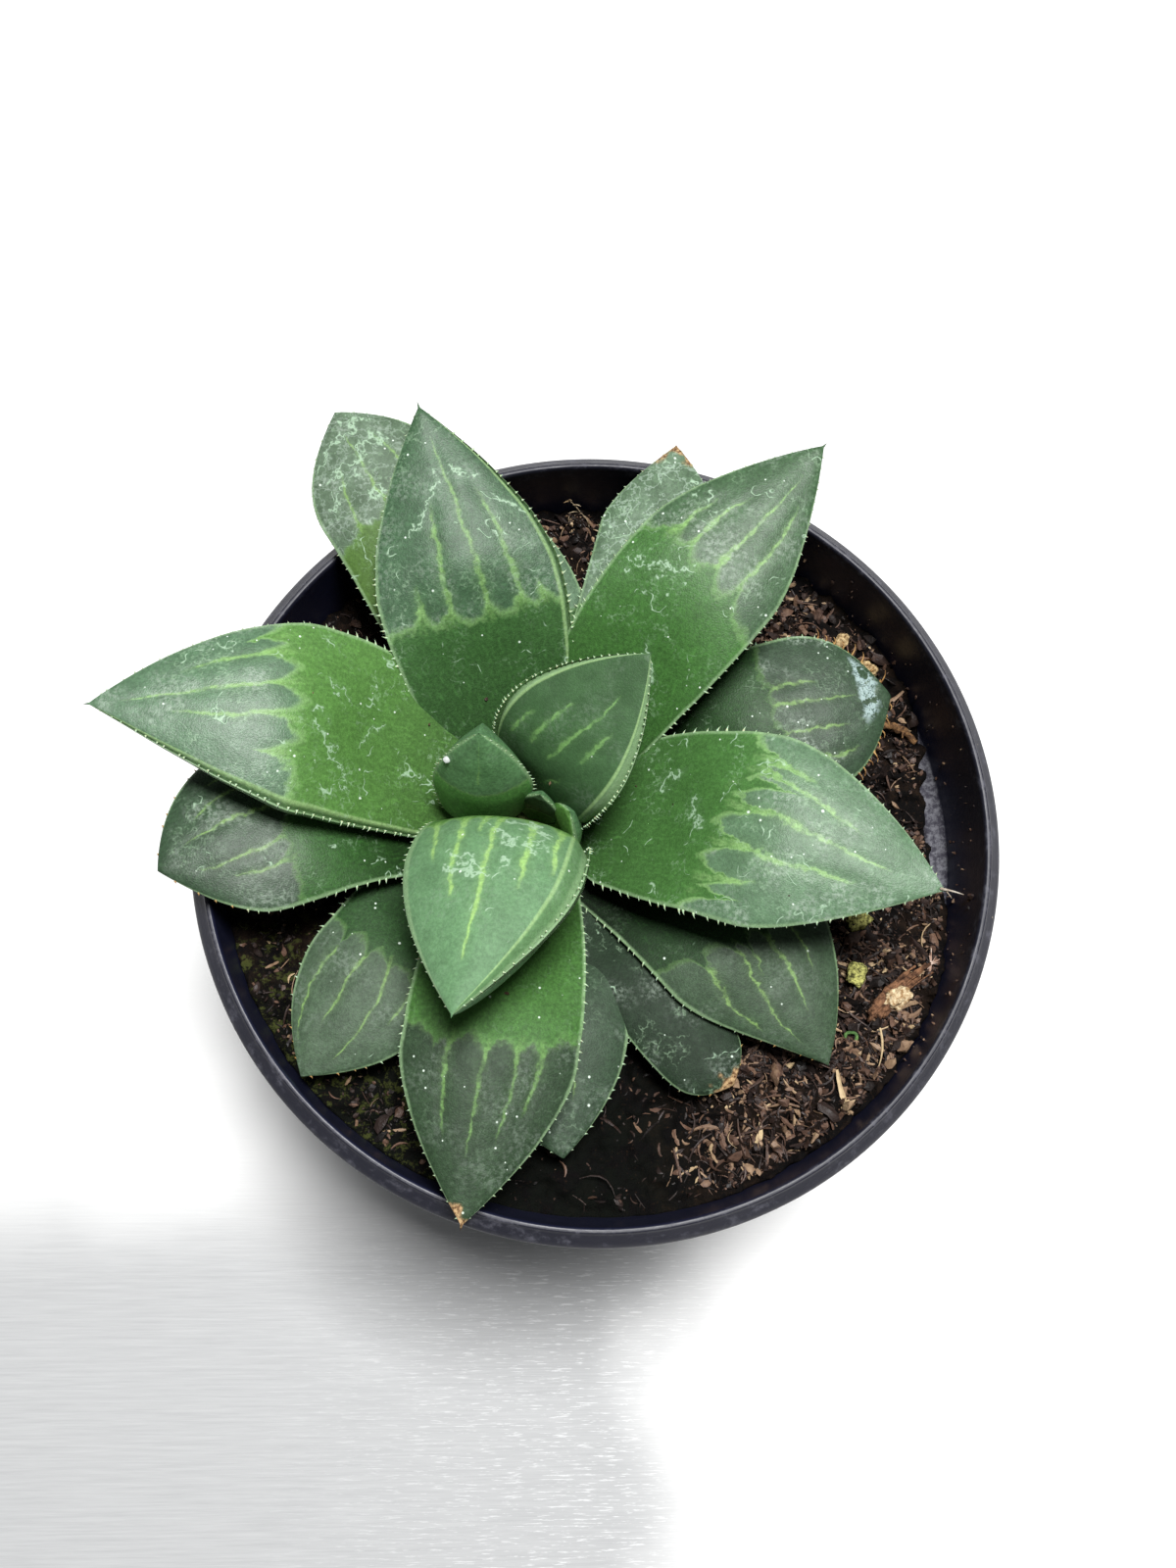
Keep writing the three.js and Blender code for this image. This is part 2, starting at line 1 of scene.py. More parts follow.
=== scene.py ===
"""A haworthia in a round black nursery pot, dressed for its studio picture.

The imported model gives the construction. Here each leaf gets its window, veins, scars and
teeth, the mix its crumbs, fibres and moss, and the pot its worn rim. Sizes are in
millimetres, as on the part, and become metres where a mesh is made.
"""

import bpy
import numpy as np
from mathutils import Matrix, Vector


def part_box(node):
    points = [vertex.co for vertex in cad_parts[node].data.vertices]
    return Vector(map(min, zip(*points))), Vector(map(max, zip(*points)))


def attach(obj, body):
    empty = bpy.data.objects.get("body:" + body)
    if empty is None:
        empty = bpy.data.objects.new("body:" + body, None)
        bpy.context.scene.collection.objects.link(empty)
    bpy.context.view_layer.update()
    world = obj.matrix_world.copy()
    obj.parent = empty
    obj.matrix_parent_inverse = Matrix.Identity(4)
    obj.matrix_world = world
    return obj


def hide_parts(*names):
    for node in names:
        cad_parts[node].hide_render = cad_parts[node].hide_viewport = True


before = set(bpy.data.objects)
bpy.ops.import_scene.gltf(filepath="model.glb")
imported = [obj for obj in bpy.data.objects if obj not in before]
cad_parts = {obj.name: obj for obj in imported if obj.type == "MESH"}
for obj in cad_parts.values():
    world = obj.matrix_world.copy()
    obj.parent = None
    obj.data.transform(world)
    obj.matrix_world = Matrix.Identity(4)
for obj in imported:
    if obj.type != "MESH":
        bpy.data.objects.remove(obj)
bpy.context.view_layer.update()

MM = 0.001
TAU = 2 * np.pi


# ------------------------------------------------------------------ shapes as arrays

def smooth(x):
    """0 below 0, 1 above 1, and an S-curve between."""
    x = np.clip(x, 0, 1)
    return x * x * (3 - 2 * x)


def within(value, middle, reach, edge):
    """0 where value is more than reach away from the middle, and 1 edge nearer to it."""
    return smooth((reach - np.abs(value - middle)) / edge)


def mix(low, high, share):
    """A straight blend from low to high."""
    return low + (high - low) * share


def noise(points, cell, seed):
    """Smooth noise from -1 to 1: random values at the corners of a cubic lattice, blended
    along each axis with an S-curve. cell is the lattice's spacing in millimetres."""
    table = np.random.default_rng(seed).uniform(-1, 1, 4096)
    place = np.asarray(points, float) / cell + 500
    base = np.floor(place).astype(np.int64)
    part = smooth(place - base)
    total = np.zeros(place.shape[:-1])
    for corner in np.ndindex(2, 2, 2):
        at = base + corner
        key = (at[..., 0] * 73856093) ^ (at[..., 1] * 19349663) ^ (at[..., 2] * 83492791)
        weight = np.where(corner, part, 1 - part).prod(axis=-1)
        total += weight * table[key % 4096]
    return total


def grid_faces(rows, columns):
    """Quads between neighbouring rows of a grid whose points run row by row. The last
    column joins the first."""
    i, j = np.meshgrid(np.arange(rows - 1), np.arange(columns), indexing="ij")
    k = (j + 1) % columns
    quads = [i * columns + j, i * columns + k, (i + 1) * columns + k, (i + 1) * columns + j]
    return np.stack(quads, axis=-1).reshape(-1, 4)


def fan_faces(first, columns, pole, backwards=False):
    """Triangles from one row of points, starting at index first, to a pole."""
    j = np.arange(columns)
    k = (j + 1) % columns
    fan = np.stack([np.full(columns, pole), first + k, first + j], axis=-1)
    return fan[:, ::-1] if backwards else fan


def closed_faces(rows, columns, inside_out=False):
    """Faces of rings whose two poles follow them in the list of points: quads between the
    rings, and a fan at each end."""
    pole = rows * columns
    quads = grid_faces(rows, columns)
    ends = [fan_faces(0, columns, pole), fan_faces(pole - columns, columns, pole + 1, True)]
    faces = [quads, np.vstack(ends)]
    return [part[:, ::-1] for part in faces] if inside_out else faces


def repeated(faces, count, step):
    """The same faces for each of count shapes of step points."""
    return (faces + (np.arange(count) * step)[:, None, None]).reshape(-1, faces.shape[-1])


def joined(parts):
    """Several closed shapes as the points and faces of one."""
    points, quads, fans, first = [], [], [], 0
    for some, (quad, fan) in parts:
        points.append(some)
        quads.append(quad + first)
        fans.append(fan + first)
        first += len(some)
    return np.vstack(points), [np.vstack(quads), np.vstack(fans)]


def stacked(*parts):
    """Arrays that broadcast together, as the last axis of one."""
    return np.stack(np.broadcast_arrays(*parts), axis=-1)


def curve(start, pull, end, share):
    """Points of the quadratic curve from start to end that is drawn towards pull."""
    return (1 - share) ** 2 * start + 2 * share * (1 - share) * pull + share ** 2 * end


def around(count):
    """Angles evenly spaced round a circle."""
    return np.arange(count) / count * TAU


def mesh_piece(name, points, faces, materials, uv=None, marks=None, material_of=None,
               crease=None):
    """A mesh object at the origin. points are in millimetres, faces is a list of index
    arrays, one for each number of sides, uv and marks are values for each point, and
    crease is the angle in degrees above which an edge is left sharp."""
    corners = np.concatenate([f.ravel() for f in faces])
    sizes = np.concatenate([np.full(len(f), f.shape[1]) for f in faces])
    mesh = bpy.data.meshes.new(name)
    mesh.vertices.add(len(points))
    mesh.loops.add(len(corners))
    mesh.polygons.add(len(sizes))
    mesh.vertices.foreach_set("co", (np.asarray(points) * MM).astype(np.float32).ravel())
    mesh.loops.foreach_set("vertex_index", corners.astype(np.int32))
    mesh.polygons.foreach_set("loop_start", (np.cumsum(sizes) - sizes).astype(np.int32))
    mesh.polygons.foreach_set("use_smooth", np.ones(len(sizes), bool))
    if material_of is not None:
        mesh.polygons.foreach_set("material_index", material_of.astype(np.int32))
    if uv is not None:
        layer = mesh.uv_layers.new(name="surface")
        layer.uv.foreach_set("vector", uv[corners].astype(np.float32).ravel())
    for mark, values in (marks or {}).items():
        attribute = mesh.attributes.new(mark, "FLOAT", "POINT")
        attribute.data.foreach_set("value", values.astype(np.float32))
    for material in materials:
        mesh.materials.append(material)
    mesh.update(calc_edges=True)
    mesh.validate()
    if crease is not None:
        mesh.set_sharp_from_angle(angle=np.radians(crease))
    piece = bpy.data.objects.new(name, mesh)
    bpy.context.scene.collection.objects.link(piece)
    return piece


def settle(piece, slot, *nodes):
    """The piece rides on the pot and stands for its nodes. slot is not used."""
    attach(piece, "root")
    if nodes:
        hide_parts(*nodes)


def box_of(node):
    """Lowest and highest corner of a solid of the part, in millimetres."""
    low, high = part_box(node)
    return np.array(low) / MM, np.array(high) / MM


# ------------------------------------------------------------------- shading, in words

class Term:
    """A value in a material's network. Arithmetic on it adds the nodes that work it out."""

    def __init__(self, sheet, socket):
        self.sheet = sheet
        self.socket = socket

    def __add__(self, other):
        return self.sheet.math("ADD", self, other)

    def __sub__(self, other):
        return self.sheet.math("SUBTRACT", self, other)

    def __rsub__(self, other):
        return self.sheet.math("SUBTRACT", other, self)

    def __mul__(self, other):
        return self.sheet.math("MULTIPLY", self, other)

    def __truediv__(self, other):
        return self.sheet.math("DIVIDE", self, other)

    def __lt__(self, other):
        return self.sheet.math("LESS_THAN", self, other)

    def __abs__(self):
        return self.sheet.math("ABSOLUTE", self)

    __radd__ = __add__
    __rmul__ = __mul__


class Sheet:
    """Nodes for one material or node group, wired by ordinary calls."""

    def __init__(self, tree):
        self.tree = tree

    def node(self, kind, *values, **settings):
        """A node with these settings, and these values for its first inputs."""
        node = self.tree.nodes.new(kind)
        for key, value in settings.items():
            setattr(node, key, value)
        for socket, value in zip(node.inputs, values):
            self.feed(socket, value)
        return node

    def terms(self, node):
        """The node's outputs by name."""
        return {label: Term(self, socket) for label, socket in node.outputs.items()}

    def feed(self, socket, value):
        if isinstance(value, Term):
            self.tree.links.new(value.socket, socket)
        elif value is not None:
            socket.default_value = value

    def math(self, operation, *values, clamp=False):
        node = self.node("ShaderNodeMath", *values, operation=operation, use_clamp=clamp)
        return Term(self, node.outputs[0])

    def most(self, a, b):
        return self.math("MAXIMUM", a, b)

    def vector(self, operation, a, b=None, scale=None):
        node = self.node("ShaderNodeVectorMath", a, b, None, scale, operation=operation)
        return Term(self, node.outputs[0])

    def parts(self, vector):
        """The three parts of a vector."""
        return self.terms(self.node("ShaderNodeSeparateXYZ", vector)).values()

    def compose(self, *parts):
        """A vector of up to three parts."""
        return Term(self, self.node("ShaderNodeCombineXYZ", *parts).outputs[0])

    def step(self, value, low, high):
        """0 where value is below low, 1 above high, and an S-curve between."""
        node = self.node("ShaderNodeMapRange", value, low, high, 0.0, 1.0,
                         interpolation_type="SMOOTHSTEP")
        return Term(self, node.outputs[0])

    def noise(self, place, scale, detail=2.0, roughness=0.5):
        """Noise from 0 to 1, with scale features for each millimetre."""
        node = self.node("ShaderNodeTexNoise", place)
        for label, value in (("Scale", scale), ("Detail", detail), ("Roughness", roughness)):
            self.feed(node.inputs[label], value)
        return self.terms(node)["Fac"]

    def ridge(self, place, scale, roughness, level, low, high):
        """1 along thin lines, where noise passes through a level, and 0 away from them."""
        return 1.0 - self.step(abs(self.noise(place, scale, 3.0, roughness) - level), low, high)

    def cells(self, place, scale):
        """Distance to the nearest of points strewn at random, and two chances from 0 to 1
        that each point draws."""
        node = self.node("ShaderNodeTexVoronoi", place)
        self.feed(node.inputs["Scale"], scale)
        given = self.terms(node)
        chances = self.terms(self.node("ShaderNodeSeparateColor", given["Color"]))
        return given["Distance"], chances["Red"], chances["Green"]

    def blend(self, share, a, b, kind="MIX"):
        """Colour a, going over to b where share is 1. A colour of three numbers is one as
        rgb takes it."""
        node = self.node("ShaderNodeMix", share, data_type="RGBA", blend_type=kind)
        for socket, colour in zip(node.inputs[6:8], (a, b)):
            on_screen = isinstance(colour, tuple) and len(colour) == 3
            self.feed(socket, rgb(*colour) if on_screen else colour)
        return Term(self, node.outputs[2])

    def millimetres(self, shift=(0, 0, 0)):
        """The place on the piece in millimetres, with a shift so that patterns differ."""
        place = self.terms(self.node("ShaderNodeTexCoord"))["Object"]
        return self.vector("ADD", self.vector("SCALE", place, scale=1 / MM), shift)

    def mark(self, name):
        return self.terms(self.node("ShaderNodeAttribute", attribute_name=name))["Fac"]


def rgb(red, green, blue):
    """A colour given as it looks on a screen, from 0 to 255, as Blender's linear one."""
    share = np.array([red, green, blue]) / 255
    linear = np.where(share <= 0.04045, share / 12.92, ((share + 0.055) / 1.055) ** 2.4)
    return (*linear.tolist(), 1.0)


def times(colour, factor):
    """A linear colour made lighter or darker."""
    return tuple(min(1.0, part * factor) for part in colour[:3]) + (1.0,)


def group(name, outputs, **inputs):
    """A new node group, whose outputs are values. Its inputs are given with what they are
    when nothing is fed, a tuple for a vector. Returns its sheet, what it takes, and a
    function that feeds what it gives."""
    tree = bpy.data.node_groups.new(name, "ShaderNodeTree")
    for label, value in inputs.items():
        kind = "NodeSocketVector" if isinstance(value, tuple) else "NodeSocketFloat"
        socket = tree.interface.new_socket(label, in_out="INPUT", socket_type=kind)
        socket.default_value = value
    for label in outputs:
        tree.interface.new_socket(label, in_out="OUTPUT", socket_type="NodeSocketFloat")
    sheet = Sheet(tree)
    ends = sheet.node("NodeGroupOutput").inputs

    def give(**values):
        for label, value in values.items():
            sheet.feed(ends[label], value)

    return sheet, sheet.terms(sheet.node("NodeGroupInput")), give


def place_group(sheet, name, **values):
    node = sheet.node("ShaderNodeGroup", node_tree=bpy.data.node_groups[name])
    for label, value in values.items():
        sheet.feed(node.inputs[label], value)
    return sheet.terms(node)


def new_material(name, **constants):
    """The sheet of a new material, and a function that feeds its shader and returns the
    material. constants go straight onto the shader's inputs."""
    material = bpy.data.materials.new(name)
    material.use_nodes = True
    sheet = Sheet(material.node_tree)
    shader = material.node_tree.nodes["Principled BSDF"].inputs
    for label, value in constants.items():
        shader[label.replace("_", " ")].default_value = value

    def finish(colour, roughness=None, relief=None, depth=0.0, strength=1.0):
        """relief is a height from 0 to 1 that counts as depth millimetres."""
        sheet.feed(shader["Base Color"], colour)
        sheet.feed(shader["Roughness"], roughness)
        if relief is not None:
            bump = sheet.node("ShaderNodeBump")
            for label, value in (("Strength", strength), ("Distance", depth * MM),
                                 ("Height", relief)):
                sheet.feed(bump.inputs[label], value)
            sheet.feed(shader["Normal"], sheet.terms(bump)["Normal"])
        return material

    return sheet, finish


# ------------------------------------------------------- patterns shared by the leaves

def make_vein_group():
    """One line from (At, From) to (End, Until) across and along the leaf. Line is its
    mask, with a soft halo, and Rise is how near it is: that pulls the green of the foot
    up between two lobes of the window."""
    sheet, take, give = group("vein", ("Line", "Rise"), Across=0.0, Along=0.0, At=0.0, End=0.0,
                              From=0.5, Until=0.8, Width=0.03, Sharp=26.0)
    along = take["Along"]
    share = (along - take["From"]) / (take["Until"] - take["From"])
    share = sheet.math("ADD", share, 0.0, clamp=True)
    off = abs(take["Across"] - ((take["End"] - take["At"]) * share + take["At"]))
    edge = off / (take["Width"] * (share * -0.4 + 1.0))
    core = 1.0 - sheet.step(edge, 0.3, 1.1)
    halo = sheet.math("EXPONENT", edge * -0.9)
    line = (halo * 0.3 + core * 0.7) * sheet.step(along, take["From"] - 0.02, take["From"])
    past = sheet.step(along, take["Until"] - 0.05, take["Until"])
    give(Line=line * (1.0 - past), Rise=sheet.math("EXPONENT", off * (take["Sharp"] * -1.0)))


def make_wander_group():
    """Across, from -1 at the right margin to 1 at the left, and Along, from the foot to
    the tip, both led astray a little so that lines drawn with them waver. Steady is
    Across before that."""
    sheet, take, give = group("wander", ("Across", "Along", "Steady"),
                              Surface=(0, 0, 0), Place=(0, 0, 0))
    across, along, _ = sheet.parts(take["Surface"])
    steady = across * 2.0 - 1.0
    slow = sheet.noise(take["Place"], 0.22, 1.0) - 0.5
    quick = sheet.noise(take["Place"], 0.9, 2.0, 0.6) - 0.5
    give(Across=quick * 0.1 + (slow * 0.16 + steady), Along=quick * 0.045 + along, Steady=steady)


def make_tissue_group():
    """The leaf's fine grain: Grain is 0 to 1 at the size of its cells, Mottle is broader
    and Height is the relief that breaks up a highlight."""
    sheet, take, give = group("tissue", ("Grain", "Mottle", "Height"), Place=(0, 0, 0))
    fine = sheet.noise(take["Place"], 2.6, 3.0, 0.75)
    finer = sheet.noise(take["Place"], 5.5, 2.0, 0.6)
    broad = sheet.noise(take["Place"], 0.42, 3.0, 0.6)
    give(Grain=sheet.step(fine, 0.3, 0.72), Mottle=broad, Height=broad * 0.3 + finer)


def make_marks_group():
    """What a leaf picks up: Scars are thin wavy healed scratches, Smears broader and
    softer ones, Dots small white flecks and Specks dark dust."""
    sheet, take, give = group("marks", ("Scars", "Smears", "Dots", "Specks"),
                              Place=(0, 0, 0), Scars=0.5, Dots=0.5)
    place = take["Place"]
    wave = sheet.noise(place, 0.2, 2.5, 0.6)
    line = 1.0 - sheet.step(abs(wave - 0.5), 0.002, 0.011)
    low = (1.02 - take["Scars"]) * 0.3 + 0.47
    gate = sheet.step(sheet.noise(place, 0.26, 1.0), low, low + 0.05)
    flicker = sheet.step(sheet.noise(place, 1.6, 2.0), 0.34, 0.55)
    soft = sheet.ridge(place, 0.36, 0.7, 0.48, 0.004, 0.035)
    drift = sheet.step(sheet.noise(place, 0.17, 2.0, 0.6), 0.44, 0.62)
    rough = sheet.step(sheet.noise(place, 1.9, 3.0, 0.7), 0.38, 0.64)
    spots, chance, _ = sheet.cells(place, 0.95)
    size = sheet.noise(place, 0.8, 0.0) * 0.27
    dot = 1.0 - sheet.step(spots, size * 0.5, size)
    crowd = sheet.step(sheet.noise(place, 0.16, 1.0), 0.3, 0.7)
    dust, _, rare = sheet.cells(place, 0.35)
    give(Scars=line * gate * flicker, Smears=soft * drift * rough * take["Scars"],
         Dots=dot * (chance < take["Dots"] * crowd), Specks=(dust < 0.04) * (rare < 0.1))


make_vein_group()
make_wander_group()
make_tissue_group()
make_marks_group()


# --------------------------------------------------------------------------- the leaves

# Each leaf's line and outline, as in the part. heading and sweep turn it round, rise and
# level are its slopes before and after the bend, width is its greatest, at the share
# widest of its length, blunt is how full it stays towards the tip, and foot is where it
# starts. side and keel shape the underside, full keeps it deep, point is the fine point
# beyond the blade, swell is how far the window stands up, and bevels are the shares of the
# half width where a margin starts to fall away.
LEAF_SHAPES = {
    "leaf_bud_inner": dict(
        heading=70, length=9, rise=82, level=88, bend=0.5, width=4.6, widest=0.45, blunt=1.8,
        foot=(-6.9, 0.6, 71)),
    "leaf_bud_outer": dict(
        heading=25, length=10, rise=80, level=84, bend=0.5, width=6.0, widest=0.45, blunt=1.8,
        foot=(-4.7, -1.1, 70)),
    "leaf_young_incurved": dict(
        heading=93, length=21, rise=76, level=82, bend=0.6, roll=-7, width=10.9, widest=0.45,
        blunt=1.65, foot=(-12.7, 0.7, 69.5), keel=0.85, full=6, point=0.1, swell=0.5,
        swell_from=-0.2),
    "leaf_young_right": dict(
        heading=44.5, sweep=-3, length=29, rise=78, level=24, bend=0.48, roll=1, width=16,
        widest=0.5, blunt=1.9, foot=(-8, 2.5, 69), side=0.6, point=0.15, full=6, swell=0.03,
        swell_from=-0.4, bevels=(-0.84, 0.87)),
    "leaf_young_front": dict(
        heading=-110, sweep=9.5, length=37, rise=84, level=20.5, bend=0.44, roll=14, width=18.5,
        widest=0.55, blunt=1.6, foot=(-9.5, -2.2, 69), side=0.65, swell=0.3, swell_from=0.12,
        full=5, point=0.3, bevels=(0.8,)),
    "leaf_upper_back": dict(
        heading=107, length=45.5, rise=40, level=12, bend=0.46, roll=-3, width=21, widest=0.54,
        blunt=1.6, foot=(-8.9, 5.9, 67), point=0.7, side=0.3, bevels=(-0.93,)),
    "leaf_upper_right": dict(
        heading=-9.5, sweep=-14.5, length=47, rise=38.5, level=8, bend=0.52, roll=5, width=21,
        widest=0.58, blunt=1.6, foot=(-5, 2.5, 67)),
    "leaf_upper_front": dict(
        heading=-96.5, sweep=-2, length=46, rise=34, level=2, bend=0.44, roll=-2, width=18.5,
        widest=0.63, blunt=1.6, foot=(-8.3, 0, 67), side=0.35),
    "leaf_upper_left": dict(
        heading=159, sweep=29, length=48.5, rise=38.5, level=8, bend=0.58, roll=2, width=21,
        widest=0.53, blunt=1.6, foot=(-10.8, 4.1, 67), side=0.3, bevels=(0.93,)),
    "leaf_upper_back_right": dict(
        heading=52, sweep=-6, length=52, rise=38, level=8, bend=0.46, roll=1, width=18,
        widest=0.61, blunt=1.6, foot=(-6.1, 5.4, 67)),
    "leaf_lower_back_left": dict(
        heading=110, sweep=16, length=49, rise=33, level=10, roll=-2, width=17, widest=0.75,
        blunt=2.4, foot=(-9.4, 6.8, 64), point=0.0),
    "leaf_lower_left": dict(
        heading=179, sweep=34, length=40.5, rise=37, level=11, bend=0.46, roll=1, width=19,
        widest=0.68, blunt=2.6, foot=(-12, 3.1, 64), point=0.0),
    "leaf_lower_right": dict(
        heading=22, sweep=-11, length=42, rise=24, level=2, roll=3, width=19, widest=0.72,
        blunt=2.8, foot=(-4.3, 4.5, 64), point=0.0),
    "leaf_lower_front_right": dict(
        heading=-22, sweep=-42.5, length=43, rise=24, level=0, roll=1, width=19.8, widest=0.62,
        blunt=1.6, foot=(-4.3, 1.5, 64), point=0.15),
    "leaf_lower_back_right": dict(
        heading=54, sweep=30, length=45, rise=33, level=6, roll=-1, width=14.5, widest=0.74,
        blunt=1.7, foot=(-5.2, 6.8, 63.2), point=0.1),
    "leaf_lower_back": dict(
        heading=93.5, length=34.5, rise=26, level=8, roll=-1, width=15.5, widest=0.63,
        blunt=1.6, foot=(-8.2, 7, 64)),
    "leaf_lower_front": dict(
        heading=-85, sweep=3, length=36.5, rise=20, level=3, width=18, widest=0.58, blunt=2.2,
        foot=(-7.7, -1, 64), point=0.0),
    "leaf_lower_front_left": dict(
        heading=-130, sweep=6, length=36.5, rise=27, level=4, width=16.5, widest=0.6, blunt=2.4,
        foot=(-10.6, -0.1, 64), point=0.0),
    "leaf_lower_stub": dict(
        heading=-63, sweep=19.5, length=36, rise=18, level=3, width=9.6, widest=0.75, blunt=5,
        foot=(-6.2, -0.6, 64.5), point=0.0, side=0.3),
}

